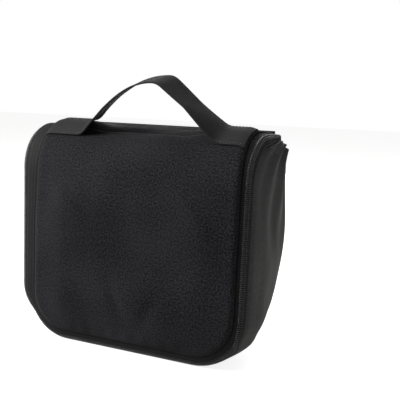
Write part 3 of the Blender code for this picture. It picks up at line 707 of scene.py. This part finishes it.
def gussetPoint(along, v, depth):
    side = -1 if along < halfRim else 1
    run = min(along, 2 * halfRim - along)
    place, out, inward, spread = edgeAt(run)
    start = place + (out * seamTo["gusset"][0] + inward * (seamTo["gusset"][1] + 0.0003)) * spread
    end = backAt(run)
    out = Vector((out.x, 0, out.z))
    upright = max(0.0, out.x)
    high = 1 - ease(run, 0.050, topRun + rollRun + 0.045)
    wave = v + 0.05 * noise.noise(Vector((run * 22, 3 * v, side * 5.0)))
    folds = math.cos(2 * math.pi * 3.1 * wave + side * 0.6) * high * ease(v, 0.05, 0.25)
    folds *= ease(1 - v, 0.03, 0.2)
    soft = noise.noise(Vector((run * 16, v * 3.2, side * 7.7)))
    rise = gusset["crown"] * math.sin(math.pi * v) + gusset["folds"] * folds
    rise += 0.0016 * soft * math.sin(math.pi * v)
    rise -= gusset["seamRound"] * (bump(v, 0, 0.045) + bump(v, 1, 0.045))
    point = start.lerp(end, v) + out * (rise * upright - depth)
    point.x *= side
    return slumped(point)


def gussetSeams(along):
    # where the gusset is sewn, to the zip's tape and to the back panel
    side = -1 if along < halfRim else 1
    run = min(along, 2 * halfRim - along)
    place, out, inward, spread = edgeAt(run)
    start = place + (out * seamTo["gusset"][0] + inward * seamTo["gusset"][1]) * spread
    end = backAt(run)
    return Vector((side * start.x, start.y, start.z)), Vector((side * end.x, end.y, end.z))


def makeGusset():
    first, last = bag["hingeGap"], 2 * halfRim - bag["hingeGap"]
    for name, depth, thick, finish, slotName in (
            ("gusset_cloth", 0.0, gusset["cloth"], satin, "gusset_cloth"),
            ("gusset_lining_cloth", 0.0011, gusset["lining"], lining, "lining_cloth")):
        bm = bmesh.new()
        layGrid(bm, lambda u, v: gussetPoint(first + (last - first) * v, u, depth),
                gusset["across"], steps(last - first, gusset["step"]), (0.105, last - first))
        piece = toPiece(name, bm, finish, thick)
        fit(piece, slotName, body="main_body", standsFor=["gusset" if depth == 0 else "gusset_lining"])
        wide, long, area = cutSize(first, last, gussetSeams)
        print(name, "flat", round(wide, 4), round(long, 4), round(area, 5))


back = {
    "step": 0.0030, "cloth": 0.0008, "padding": 0.0018, "lining": 0.0004,
    "inset": 0.0018, "bulge": 0.0030,
}


def backPoint(u, v, depth, trim):
    # v runs from just under the hinge down to the base
    high = bag["hinge"].z - bag["hingeGap"] - (0.0040 if depth else 0)
    low = trim
    z = high + (low - high) * v
    half, corner = bag["backHalf"] - back["inset"] - trim, bag["backCorner"] - back["inset"]
    if z < bag["backCorner"]:
        gone = min(1.0, (bag["backCorner"] - z) / corner)
        half = half - corner + corner * math.sqrt(max(0.0, 1 - gone * gone))
    x = (2 * u - 1) * half
    aside = min(half - abs(x), z + 0.004, high - z + 0.004)
    inner = ease(aside, 0.0, 0.045)
    rise = back["bulge"] * inner + 0.0020 * inner * noise.noise(Vector((x * 13, z * 12, 6.1)))
    rise -= 0.0012 * max(0.0, 1 - (half - abs(x)) / 0.006) ** 2
    slope = (backY(z + 0.001) - backY(z - 0.001)) / 0.002 if 0.001 < z < bag["hinge"].z - 0.001 else 0.0
    outward = Vector((0, 1, -slope)).normalized()
    share = 1.0 if depth == 0 else 0.7
    return slumped(Vector((x, backY(z), z)) + outward * (rise * share - depth))


def backSeams(z, trim):
    half, corner = bag["backHalf"] - trim, bag["backCorner"] - trim
    if z < bag["backCorner"]:
        gone = min(1.0, (bag["backCorner"] - z) / corner)
        half = half - corner + corner * math.sqrt(max(0.0, 1 - gone * gone))
    return Vector((-half, backY(z), z)), Vector((half, backY(z), z))


def makeBack():
    for name, depth, thick, trim, finish, slotName, node in (
            ("back_panel_cloth", 0.0, back["cloth"], 0, oxford, "outer_cloth", "back_panel"),
            ("back_padding", 0.0011, back["padding"], 0.0015, foam, "padding", "back_foam"),
            ("back_lining_cloth", 0.0034, back["lining"], 0.0015, lining, "lining_cloth", "back_lining")):
        bm = bmesh.new()
        wide, tall = 2 * bag["backHalf"], bag["hinge"].z
        layGrid(bm, lambda u, v: backPoint(u, v, depth, trim), steps(wide, back["step"]),
                steps(tall, back["step"]), (wide, tall))
        piece = toPiece(name, bm, finish, thick)
        fit(piece, slotName, body="main_body", standsFor=[node])
        if node == "back_foam":
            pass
        else:
            cut = cutSize(trim, tall - bag["hingeGap"] - trim, lambda z: backSeams(z, trim))
            print(name, "flat", [round(value, 5) for value in cut])


makeBack()
makeGusset()
print("gusset and back made")

# ---- hinge line, piping and zip tabs ----

piping = {"radius": 0.0013, "sides": 10, "step": 0.004}


def layCord(bm, points, radius, sides):
    # a closed round cord through the points, made ring by ring and bridged
    rings = []
    for i, point in enumerate(points):
        ahead = points[min(i + 1, len(points) - 1)] - points[max(i - 1, 0)]
        turn = ahead.to_track_quat("Z", "Y").to_matrix().to_4x4()
        ring = bmesh.ops.create_circle(bm, cap_ends=False, segments=sides, radius=radius,
                                       matrix=Matrix.Translation(point) @ turn)["verts"]
        rings.append(list(dict.fromkeys(edge for vert in ring for edge in vert.link_edges)))
    for one, other in zip(rings, rings[1:]):
        bmesh.ops.bridge_loops(bm, edges=one + other)
    bmesh.ops.holes_fill(bm, edges=rings[0] + rings[-1], sides=sides)


def makeHingeLine():
    low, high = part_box("hinge_piping")
    half = high.x
    count = steps(2 * half, piping["step"])
    bm = bmesh.new()
    points = [Vector((-half + 2 * half * i / count, bag["hinge"].y, bag["hinge"].z))
              for i in range(count + 1)]
    layCord(bm, points, piping["radius"], piping["sides"])
    bmesh.ops.recalc_face_normals(bm, faces=bm.faces)
    cord = toPiece("hinge_piping_cord", bm, grosgrain)
    fit(cord, "binding_tape", body="main_body", standsFor=["hinge_piping"])
    for word in ("left", "right"):
        low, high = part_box(f"zip_tab_{word}")
        bm = bmesh.new()

        def place(u, v):
            z = high.z + (low.z - high.z) * v
            x = low.x + (high.x - low.x) * u
            round_ = 0.0008 * (2 * v - 1) ** 4
            return Vector((x, backY(z) + 0.0017 + 0.0012 * math.sin(math.pi * v) - round_, z))

        layGrid(bm, place, 8, 12, (high.x - low.x, high.z - low.z))
        tab = toPiece(f"zip_tab_{word}_cloth", bm, grosgrain, 0.0010)
        fit(tab, "binding_tape", body="main_body", standsFor=[f"zip_tab_{word}"])


def makeBackPiping():
    # Bound seam where the gusset meets the back panel.
    first, last = bag["hingeGap"], 2 * halfRim - bag["hingeGap"]
    count = steps(last - first, 0.0050)
    points = []
    for i in range(count + 1):
        point = gussetPoint(first + (last - first) * i / count, 1.0, 0.0006)
        point.y -= 0.0002
        point.z = max(point.z, piping["radius"] * 0.8)
        points.append(point)
    bm = bmesh.new()
    layCord(bm, points, piping["radius"] * 0.8, 8)
    bmesh.ops.recalc_face_normals(bm, faces=bm.faces)
    cord = toPiece("back_seam_piping", bm, grosgrain)
    fit(cord, "binding_tape", body="main_body")


makeHingeLine()
makeBackPiping()
print("piping made")

# ---- inner front wall ----

wall = {"edge": 0.0084, "depth": 0.0222, "cloth": 0.0006, "hem": 0.016, "binding": 0.0045, "sag": 0.0030}


def wallPoint(x, z, depth):
    inner = ease(bag["flapHalf"] + wall["edge"] - abs(x), 0.0, 0.05) * ease(z, 0.0, 0.05)
    slack = wall["sag"] * inner * ease(z, 0.060, 0.165)
    soft = 0.0022 * inner * noise.noise(Vector((x * 17, z * 14, 8.8)))
    folds = 0.0010 * inner * math.sin(x * 130 + 9 * z) * ease(z, 0.04, 0.15)
    drop = 0.35 * slack * ease(z, 0.120, wallHigh.z)
    return Vector((x, wallLow.y + 0.0002 + slack + soft + folds + depth, z - drop))


def wallHalf(z):
    if z >= cornerZ:
        return bag["flapHalf"] + wall["edge"]
    radius = bag["flapCorner"] + wall["edge"]
    gone = min(1.0, (cornerZ - z) / radius)
    return cornerX + radius * math.sqrt(max(0.0, 1 - gone * gone))


def makeWall():
    low, high = bag["seamZ"] - wall["edge"], wallHigh.z
    tall = high - low
    bm = bmesh.new()

    def place(u, v):
        z = low + (high - low) * v
        return wallPoint((2 * u - 1) * wallHalf(z), z, 0)

    layGrid(bm, place, 80, 56, (2 * wallHigh.x, tall))
    cloth = toPiece("front_wall_cloth", bm, lining, wall["cloth"])
    fit(cloth, "lining_cloth", body="main_body", standsFor=["front_wall"])
    half = wallHalf(high) - wall["binding"]
    bm = bmesh.new()

    def hemPlace(u, v):
        z = high + 0.0006 - wall["hem"] * v
        puff = -0.0009 * math.sin(math.pi * v) ** 0.5 - 0.0004
        return wallPoint((2 * u - 1) * half, z, puff - 0.0004)

    layGrid(bm, hemPlace, 80, 10, (wall["hem"], 2 * half))
    hem = toPiece("front_wall_hem_tape", bm, hemSatin, 0.0006)
    fit(hem, "binding_tape", body="main_body", standsFor=["front_wall_hem"])
    bm = bmesh.new()
    runTop = topRun + rollRun + (arcZ - high)
    layStrip(bm, [(runTop, 2 * halfRim - runTop)],
             (wall["edge"] - wall["binding"], wall["depth"] - 0.0012),
             (wall["edge"], wall["depth"] - 0.0009), 4)
    edging = toPiece("front_wall_binding_tape", bm, grosgrain, 0.0008)
    fit(edging, "binding_tape", body="main_body", standsFor=["front_wall_binding"])
    turns = []
    for z in (high - 0.0016, high - wall["hem"] + 0.0018):
        for i in range(68):
            x = -half + 0.003 + (2 * half - 0.006) * i / 67
            turns.append(Matrix.Translation(wallPoint(x, z, -0.0016)) @ Matrix.Rotation(math.pi / 2, 4, "Z"))
    bm = stitches(turns)
    sewn = toPiece("front_wall_stitches", bm, thread)
    fit(sewn, "binding_tape", body="main_body")


makeWall()
print("front wall made")

# ---- flap pocket, its zip and the label ----

pocket = {"cloth": 0.0005, "tape": 0.0110, "firstRun": topRun + 0.003, "pitch": 0.0017}
pocketHalf = coilHigh.x


def pocketPoint(x, run, depth=0.0, wrinkle=1.0):
    edge = min(pocketHalf - abs(x), run - pocket["firstRun"])
    loose = ease(edge, 0.0, 0.030)
    crease = noise.noise(Vector((x * 30, run * 18, 1.1)))
    crease += 0.6 * noise.noise(Vector((x * 62 + 20 * run, run * 40, 5.5)))
    rise = wrinkle * (0.0012 * loose + 0.0014 * loose * crease)
    return flapPoint(x, run, layer["pocket"] + max(0.0, rise) + depth)


def makePocket():
    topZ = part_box("pocket_panel_front")[0].z
    lastRun = topRun + rollRun + (arcZ - topZ)
    first = pocket["firstRun"]
    bm = bmesh.new()
    layGrid(bm, lambda u, v: pocketPoint((2 * u - 1) * pocketHalf, first + (lastRun - first) * v),
            86, 46, (2 * pocketHalf, lastRun - first))
    panel = toPiece("pocket_cloth", bm, lining, pocket["cloth"])
    fit(panel, "lining_cloth", bend="roll", standsFor=["pocket_panel_corner", "pocket_panel_front"])
    for word in ("upper", "lower"):
        low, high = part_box(f"pocket_tape_{word}")
        bm = bmesh.new()

        def place(u, v):
            z = high.z + (low.z - high.z) * v
            run = topRun + rollRun + (arcZ - z)
            return pocketPoint((2 * u - 1) * pocketHalf, run, -0.0002 * math.sin(math.pi * v), 0)

        layGrid(bm, place, 60, 6, (high.z - low.z, 2 * pocketHalf))
        tape = toPiece(f"pocket_tape_{word}_cloth", bm, zipTape, zipper["tape"])
        fit(tape, "zip_tape", body="flap_front", standsFor=[f"pocket_tape_{word}"])
    turns = []
    coilZ = (coilLow.z + coilHigh.z) / 2
    run = topRun + rollRun + (arcZ - coilZ)
    count = int(2 * pocketHalf / pocket["pitch"])
    for i in range(count):
        x = -pocketHalf + (i + 0.5) * 2 * pocketHalf / count
        for side in (-1, 1):
            place = pocketPoint(x + side * pocket["pitch"] / 4, run - side * 0.0010, 0.0008, 0)
            turns.append(Matrix.Translation(place))
    teeth = toPiece("pocket_zip_teeth", repeat((0.00055, 0.00075, 0.0015), turns), nylonCoil)
    fit(teeth, "zip_coil", body="flap_front", standsFor=["pocket_coil"])
    turns = []
    for z in (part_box("pocket_tape_upper")[1].z - 0.0020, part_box("pocket_tape_lower")[0].z + 0.0020):
        run = topRun + rollRun + (arcZ - z)
        for i in range(60):
            x = -pocketHalf + 0.002 + (2 * pocketHalf - 0.004) * i / 59
            spot = pocketPoint(x, run, 0.0007, 0)
            turns.append(Matrix.Translation(spot) @ Matrix.Rotation(math.pi / 2, 4, "Z"))
    bm = stitches(turns)
    sewn = toPiece("pocket_stitches", bm, thread)
    fit(sewn, "zip_tape", body="flap_front")
    low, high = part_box("blank_label")
    bm = bmesh.new()

    def labelPlace(u, v):
        y = low.y + (high.y - low.y) * v
        run = (hingeY - y) / (hingeY - arcY) * topRun
        return flapPoint(low.x + (high.x - low.x) * u, run, layer["pocket"] + 0.0003 * math.sin(math.pi * v))

    layGrid(bm, labelPlace, 6, 10, (high.x - low.x, high.y - low.y))
    label = toPiece("blank_label_cloth", bm, labelSatin, 0.0003)
    fit(label, "label_cloth", body="flap_top", standsFor=["blank_label"])


makePocket()
print("pocket made")

# ---- carry handle ----

strap = {
    "width": 0.038, "thick": 0.0016, "left": -0.0675, "right": 0.085, "end": 0.1075,
    "peakX": 0.020, "rise": 0.044, "lean": -0.002, "foot": 0.14,
    "crestLeft": 0.52, "crestRight": 0.16,     # share of each side's run that rounds the peak
    "flatten": 0.022,
    "tiltLeft": 0.46, "tiltPeak": 0.19, "tiltRight": 0.02,
}


def strapShare(x):
    # from 0 where the strap lifts off the flap to 1 at its peak
    lift = strap["left"] if x < strap["peakX"] else strap["right"]
    return min(1.0, max(0.0, (x - lift) / (strap["peakX"] - lift)))


def strapHeight(x):
    share = strapShare(x)
    crest = strap["crestLeft"] if x < strap["peakX"] else strap["crestRight"]
    slope = 1 / (1 - strap["foot"] / 2 - crest / 2)
    if share < strap["foot"]:
        rise = slope * share ** 2 / (2 * strap["foot"])
    elif share > 1 - crest:
        rise = 1 - slope * (1 - share) ** 2 / (2 * crest)
    else:
        rise = slope * (share - strap["foot"] / 2)
    return strap["rise"] * rise


def strapPoint(x, across):
    # across runs from the strap's rear edge, -0.5, to its front edge, 0.5
    height = strapHeight(x)
    free = min(1.0, height / strap["flatten"])
    zone = strap["width"] / bag["rollRadius"] / 2
    radius = bag["rollRadius"] + 0.0003 + strap["thick"]
    side = strap["tiltLeft"] if x < strap["peakX"] else strap["tiltRight"]
    tilt = zone * (1 - free) + (side + (strap["tiltPeak"] - side) * ease(strapShare(x), 0, 1)) * free
    y = arcY - radius * math.sin(zone) + strap["lean"] * height / strap["rise"]
    z = arcZ + radius * math.cos(zone) + height
    bend = (1 - free) / radius
    angle = bend * across * strap["width"]
    ahead = math.sin(angle) / bend if bend > 1e-6 else across * strap["width"]
    drop = (1 - math.cos(angle)) / bend if bend > 1e-6 else 0.0
    tuck = 0.0016 * ease(abs(x), strap["end"] - 0.007, strap["end"] + 0.001)
    point = Vector((x, y - ahead * math.cos(tilt) + drop * math.sin(tilt),
                    z - ahead * math.sin(tilt) - drop * math.cos(tilt) - tuck))
    return point.lerp(slumped(point), 1 - free)


def strapRuns():
    # places along the strap at even steps of its own length
    fine = [-strap["end"] + 2 * strap["end"] * i / 600 for i in range(601)]
    points = [strapPoint(x, 0) for x in fine]
    lengths = [0.0]
    for a, b in zip(points, points[1:]):
        lengths.append(lengths[-1] + (b - a).length)
    return fine, lengths


def makeHandle():
    fine, lengths = strapRuns()
    total = lengths[-1]
    knots = list(zip(lengths, fine))
    bm = bmesh.new()
    layGrid(bm, lambda u, v: strapPoint(between(total * v, knots), u - 0.5), 14, steps(total, 0.0024),
            (strap["width"], total), facing=1)
    piece = toPiece("carry_handle_strap", bm, webbing, strap["thick"])
    bevel = piece.modifiers.new("SoftEdge", "BEVEL")
    bevel.width = 0.0004
    bevel.segments = 2
    fit(piece, "webbing", bend="handle", standsFor=["carry_handle", "handle_end_left", "handle_end_right"])
    turns = []
    sewnRuns = ((-strap["end"] + 0.004, strap["left"] + 0.004),
                (strap["right"] - 0.004, strap["end"] - 0.004))
    for first, last in sewnRuns:
        count = int((last - first) / zipper["stitch"])
        for edge in (-0.5 + 0.0022 / strap["width"], 0.5 - 0.0022 / strap["width"]):
            for i in range(count + 1):
                x = first + (last - first) * i / count
                ahead = (strapPoint(x + 0.001, edge) - strapPoint(x - 0.001, edge)).normalized()
                turn = ahead.to_track_quat("Y", "Z").to_matrix().to_4x4()
                turns.append(Matrix.Translation(strapPoint(x, edge) + Vector((0, 0, 0.0001))) @ turn)
    bm = stitches(turns)
    sewn = toPiece("carry_handle_stitches", bm, thread)
    fit(sewn, "webbing", bend="handle")
    print("handle strap length", round(total, 4))


makeHandle()
print("handle made")

# ---- hook and its tab ----

hook = {"bar": 0.0022, "base": 0.040, "neck": 0.020, "height": 0.019, "slot": (0.027, 0.0040),
        "ring": 0.0155, "rod": 0.0024, "mouth": -12, "root": 262}


def makeHook():
    pivot = Vector(joints["hook_flip"]["pos_m"])
    half, neck, top, low = hook["base"] / 2, hook["neck"] / 2, hook["height"] - hook["bar"], -hook["bar"]
    slotHalf, slotLow = hook["slot"][0] / 2, hook["bar"]
    slotHigh = slotLow + hook["slot"][1]
    bm = bmesh.new()
    outer = [bm.verts.new((x, 0, z)) for x, z in ((-half, low), (half, low), (half, low + 0.009), (neck, top),
                                                  (-neck, top), (-half, low + 0.009))]
    bm.faces.new(outer)
    bmesh.ops.bevel(bm, geom=outer, affect="VERTICES", offset=0.0022, segments=4, profile=0.5, material=-1)
    outerEdges = list(bm.edges)
    bmesh.ops.delete(bm, geom=list(bm.faces), context="FACES_ONLY")
    slot = [bm.verts.new((x, 0, z)) for x, z in ((-slotHalf, slotLow), (slotHalf, slotLow),
                                                 (slotHalf, slotHigh), (-slotHalf, slotHigh))]
    bm.faces.new(slot)
    known = set(bm.verts) - set(slot)
    bmesh.ops.bevel(bm, geom=slot, affect="VERTICES", offset=0.0012, segments=4, profile=0.5, material=-1)
    slotEdges = [edge for edge in bm.edges if not (set(edge.verts) & known)]
    bmesh.ops.delete(bm, geom=list(bm.faces), context="FACES_ONLY")
    plate = bmesh.ops.bridge_loops(bm, edges=outerEdges + slotEdges)["faces"]
    thick = 2 * hook["bar"]
    grown = bmesh.ops.extrude_face_region(bm, geom=plate)["geom"]
    moved = [item for item in grown if isinstance(item, bmesh.types.BMVert)]
    bmesh.ops.translate(bm, verts=moved, vec=(0, thick, 0))
    bmesh.ops.translate(bm, verts=bm.verts, vec=(0, -thick / 2, 0))
    bmesh.ops.recalc_face_normals(bm, faces=bm.faces)
    sharp = [edge for edge in bm.edges if len(edge.link_faces) == 2 and edge.calc_face_angle() > 1.0]
    bmesh.ops.bevel(bm, geom=sharp, affect="EDGES", offset=0.0009, segments=3, profile=0.5, material=-1)
    centre = Vector((0, 0, top + hook["ring"] - hook["rod"] / 2))
    first, last = math.radians(hook["mouth"]), math.radians(hook["root"])
    start = centre + Vector((hook["ring"] * math.cos(first), 0, hook["ring"] * math.sin(first)))
    turn = Matrix.Translation(start) @ Matrix.Rotation(-first, 4, "Y")
    circle = bmesh.ops.create_circle(bm, cap_ends=False, segments=16, radius=hook["rod"],
                                     matrix=turn)["verts"]
    ring = list(dict.fromkeys(edge for vert in circle for edge in vert.link_edges))
    spun = bmesh.ops.spin(bm, geom=circle + ring, cent=centre, axis=(0, -1, 0), angle=last - first, steps=44)
    tail = [item for item in spun["geom_last"] if isinstance(item, bmesh.types.BMEdge)]
    bmesh.ops.holes_fill(bm, edges=ring + tail, sides=16)
    bmesh.ops.create_uvsphere(bm, u_segments=16, v_segments=12, radius=hook["rod"] * 1.22,
                              matrix=Matrix.Translation(start))
    bmesh.ops.translate(bm, verts=bm.verts, vec=pivot)
    bmesh.ops.recalc_face_normals(bm, faces=bm.faces)
    piece = toPiece("garment_hook_moulding", bm, acetal, sharp=50)
    fit(piece, "hook_plastic", body="hook", standsFor=["garment_hook"])


def makeHookTab():
    # Webbing sewn to the lining, its end turned round the bar of the hook.
    pivot = Vector(joints["hook_flip"]["pos_m"])
    inner = hook["bar"] * math.sqrt(2) + 0.0003
    thick, open_ = 0.0012, 0.85
    outer = inner + thick
    long = tabHigh.z - pivot.z
    wide = tabHigh.x - tabLow.x
    arc = outer * (2 * math.pi - open_)
    total = long + arc

    def place(u, v):
        run = total * v
        x = tabLow.x + wide * u
        if run < long:
            sew = 0.0004 * ease(run, 0.0, 0.004)
            return pivot + Vector((x, -outer + 0.0004 - sew, long - run))
        angle = math.pi + (run - long) / outer
        return pivot + Vector((x, outer * math.cos(angle), outer * math.sin(angle)))

    bm = bmesh.new()
    layGrid(bm, place, 10, 44, (wide, total))
    # the outer side of the turn is the side away from the bar
    bm.normal_update()
    ringFaces = [f for f in bm.faces if f.calc_center_median().z < pivot.z - outer * 0.5]
    facing = sum(f.normal.dot(f.calc_center_median() - pivot) for f in ringFaces)
    if facing < 0:
        bmesh.ops.reverse_faces(bm, faces=list(bm.faces))
    tab = toPiece("hook_tab_webbing", bm, webbing, thick)
    fit(tab, "webbing", body="flap_front", standsFor=["hook_tab"])
    turns = []
    for z in (tabHigh.z - 0.0030, tabHigh.z - 0.0110):
        for i in range(8):
            x = tabLow.x + 0.0025 + (wide - 0.005) * i / 7
            spot = Vector((x, pivot.y - outer + thick + 0.0001, z))
            turns.append(Matrix.Translation(spot) @ Matrix.Rotation(math.pi / 2, 4, "Z"))
    bm = stitches(turns)
    sewn = toPiece("hook_tab_stitches", bm, thread)
    fit(sewn, "webbing", body="flap_front")


makeHook()
makeHookTab()
print("hook made")

# ---- sliders and pulls ----


def layBlock(bm, size, turn, bevel, taper=1.0):
    verts = bmesh.ops.create_cube(bm, size=1, matrix=Matrix.Diagonal((*size, 1)))["verts"]
    for vert in verts:
        if vert.co.y > 0:
            vert.co.x *= taper
    edges = list(dict.fromkeys(edge for vert in verts for edge in vert.link_edges))
    made = bmesh.ops.bevel(bm, geom=edges, affect="EDGES", offset=bevel, segments=3, profile=0.5, material=-1)
    every = list(dict.fromkeys([*made["verts"], *[v for v in verts if v.is_valid]]))
    bmesh.ops.transform(bm, matrix=turn, verts=every)


def layRing(bm, turn, radius, rod, angle, stretch=1.0):
    # part of a ring of round wire, in the plane of the turned X and Z
    start = Matrix.Translation((radius, 0, 0))
    circle = bmesh.ops.create_circle(bm, cap_ends=False, segments=8, radius=rod, matrix=start)["verts"]
    edges = list(dict.fromkeys(edge for vert in circle for edge in vert.link_edges))
    before = set(bm.verts) - set(circle)
    whole = angle > 6.28
    spun = bmesh.ops.spin(bm, geom=circle + edges, cent=(0, 0, 0), axis=(0, -1, 0), angle=angle,
                          steps=20, use_merge=whole)
    if not whole:
        tail = [item for item in spun["geom_last"] if isinstance(item, bmesh.types.BMEdge)]
        bmesh.ops.holes_fill(bm, edges=edges + tail, sides=8)
    made = [vert for vert in bm.verts if vert not in before]
    for vert in made:
        vert.co.z *= stretch
    bmesh.ops.transform(bm, matrix=turn, verts=made)


def makeSlider(name, node, finishTurn, size, body):
    low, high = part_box(node)
    centre = (low + high) / 2
    across, along, high = size
    turn = Matrix.Translation(centre) @ finishTurn
    bm = bmesh.new()
    # two plates with the coil between them, and the bridge that holds the pull
    layBlock(bm, (across, along, high * 0.52), turn @ Matrix.Translation((0, 0, high * 0.22)), 0.0008, 0.78)
    layBlock(bm, (across * 0.9, along * 0.9, high * 0.34),
             turn @ Matrix.Translation((0, 0, -high * 0.30)), 0.0005, 0.78)
    layBlock(bm, (across * 0.34, along * 0.24, high * 0.9),
             turn @ Matrix.Translation((0, along * 0.34, 0)), 0.0004)
    quarter = Matrix.Rotation(math.pi / 2, 4, "Z")
    layRing(bm, turn @ Matrix.Translation((0, 0, high * 0.42)) @ quarter, along * 0.30, 0.0007, math.pi, 0.62)
    bmesh.ops.recalc_face_normals(bm, faces=bm.faces)
    piece = toPiece(name, bm, zinc, sharp=45)
    fit(piece, "slider_metal", body=body, standsFor=[node])


def makePull(name, node, finishTurn, size, body, pivot, sign):
    # a tab with an eye at the end that hangs on the bridge
    wide, long, thick = size
    turn = Matrix.Translation(pivot) @ finishTurn
    bm = bmesh.new()
    layRing(bm, turn @ Matrix.Translation((0, sign * wide * 0.36, 0)) @ Matrix.Rotation(math.pi / 2, 4, "X"),
            wide * 0.36, thick * 0.42, 2 * math.pi)
    layBlock(bm, (wide * 0.94, long - wide * 0.66, thick * 0.92),
             turn @ Matrix.Translation((0, sign * (wide * 0.62 + (long - wide * 0.66) / 2), 0)), thick * 0.30)
    layBlock(bm, (wide * 0.60, long * 0.42, thick * 1.15),
             turn @ Matrix.Translation((0, sign * (wide * 0.72 + long * 0.30), 0)), thick * 0.22)
    bmesh.ops.recalc_face_normals(bm, faces=bm.faces)
    piece = toPiece(name, bm, zinc, sharp=45)
    fit(piece, "slider_metal", body=body, standsFor=[node])


def makeSliders():
    along = Vector(joints["slider_travel"]["axis"]).normalized()
    across = -Vector(joints["pull_flip"]["axis"]).normalized()
    up = across.cross(along).normalized()
    turn = Matrix((across, along, up)).transposed().to_4x4()
    pivot = Vector(joints["pull_flip"]["pos_m"])
    makeSlider("main_slider_body_zinc", "main_slider", turn, (0.0070, 0.011, 0.0026), "main_slider_body")
    makePull("main_pull_zinc", "main_pull", turn, (0.0056, 0.0170, 0.0012), "main_pull_body", pivot, -1)
    # the pocket's zip faces into the bag, and its slider runs along X
    turn = Matrix((Vector((0, 0, 1)), Vector((1, 0, 0)), Vector((0, 1, 0)))).transposed().to_4x4()
    pivot = Vector(joints["pocket_pull_flip"]["pos_m"])
    makeSlider("pocket_slider_zinc", "pocket_slider", turn, (0.0072, 0.0110, 0.0024), "pocket_slider_body")
    makePull("pocket_pull_zinc", "pocket_pull", turn, (0.0048, 0.0100, 0.0010), "pocket_pull_body", pivot, 1)


makeSliders()
print("sliders made")

# ---- camera, floor and light ----

studio = {
    "azimuth": 27.8, "elevation": 10.5, "roll": 1.95, "distance": 0.743, "lens": 67.9,
    "target": (0.0, 0.0, 0.107), "shift": (0.125, 0.0855),
    "world": 0.16, "paper": 0.15, "key": 55.0, "side": 2.6, "rear": 11.0, "top": 12.0,
}


def makeCamera():
    azimuth, elevation = math.radians(studio["azimuth"]), math.radians(studio["elevation"])
    away = Vector((math.sin(azimuth) * math.cos(elevation), -math.cos(azimuth) * math.cos(elevation),
                   math.sin(elevation)))
    camera = bpy.data.objects.new("camera", bpy.data.cameras.new("camera"))
    bpy.context.scene.collection.objects.link(camera)
    camera.location = Vector(studio["target"]) + away * studio["distance"]
    turn = (-away).to_track_quat("-Z", "Y").to_matrix().to_4x4()
    turn = turn @ Matrix.Rotation(math.radians(studio["roll"]), 4, "Z")
    camera.rotation_euler = turn.to_euler()
    camera.data.lens = studio["lens"]
    camera.data.sensor_width = 36
    camera.data.shift_x, camera.data.shift_y = studio["shift"]
    camera.data.clip_start = 0.01
    bpy.context.scene.camera = camera


def softbox(name, place, aim, size, power):
    lamp = bpy.data.objects.new(name, bpy.data.lights.new(name, "AREA"))
    bpy.context.scene.collection.objects.link(lamp)
    lamp.data.shape = "RECTANGLE"
    lamp.data.size, lamp.data.size_y = size
    lamp.data.energy = power
    lamp.location = place
    lamp.rotation_euler = (Vector(aim) - Vector(place)).to_track_quat("-Z", "Y").to_euler()


def makeStudio():
    # matt white paper, bright enough to leave no horizon against the white air
    paper, tree, shader = newFinish("studioPaper", Roughness=0.95, Specular_IOR_Level=0.1)
    shader.inputs["Base Color"].default_value = linear("#c4c4c2")
    shader.inputs["Emission Color"].default_value = linear("#ffffff")
    seen = add(tree, "ShaderNodeLightPath", {}).outputs["Is Camera Ray"]
    glow = add(tree, "ShaderNodeMapRange", {"Value": seen, "To Min": studio["paper"], "To Max": 0.85})
    tree.links.new(glow.outputs[0], shader.inputs["Emission Strength"])
    bm = bmesh.new()
    bmesh.ops.create_grid(bm, x_segments=2, y_segments=2, size=6)
    floor = toPiece("studio_floor", bm, paper)
    world = bpy.data.worlds.new("studioAir")
    world.use_nodes = True
    world.node_tree.nodes["Background"].inputs["Color"].default_value = linear("#ffffff")
    # the air is white to look at but lights the bag only a little
    seen = add(world.node_tree, "ShaderNodeLightPath", {}).outputs["Is Camera Ray"]
    strength = add(world.node_tree, "ShaderNodeMapRange", {"Value": seen, "To Min": studio["world"],
                                                           "To Max": 1.0})
    world.node_tree.links.new(strength.outputs[0], world.node_tree.nodes["Background"].inputs["Strength"])
    bpy.context.scene.world = world
    bpy.context.scene.view_settings.view_transform = "Standard"
    softbox("keyBox", (-1.1, -0.80, 1.0), (0, 0, 0.12), (0.7, 0.7), studio["key"])
    softbox("sideBox", (1.25, 0.40, 0.5), (0, 0, 0.12), (0.5, 1.0), studio["side"])
    softbox("rearBox", (-0.5, 1.6, 0.5), (0, 0, 0.10), (1.0, 1.0), studio["rear"])
    softbox("topBox", (0.0, 0.2, 1.7), (0, 0, 0.1), (1.6, 1.6), studio["top"])


makeCamera()
makeStudio()
print("studio made")
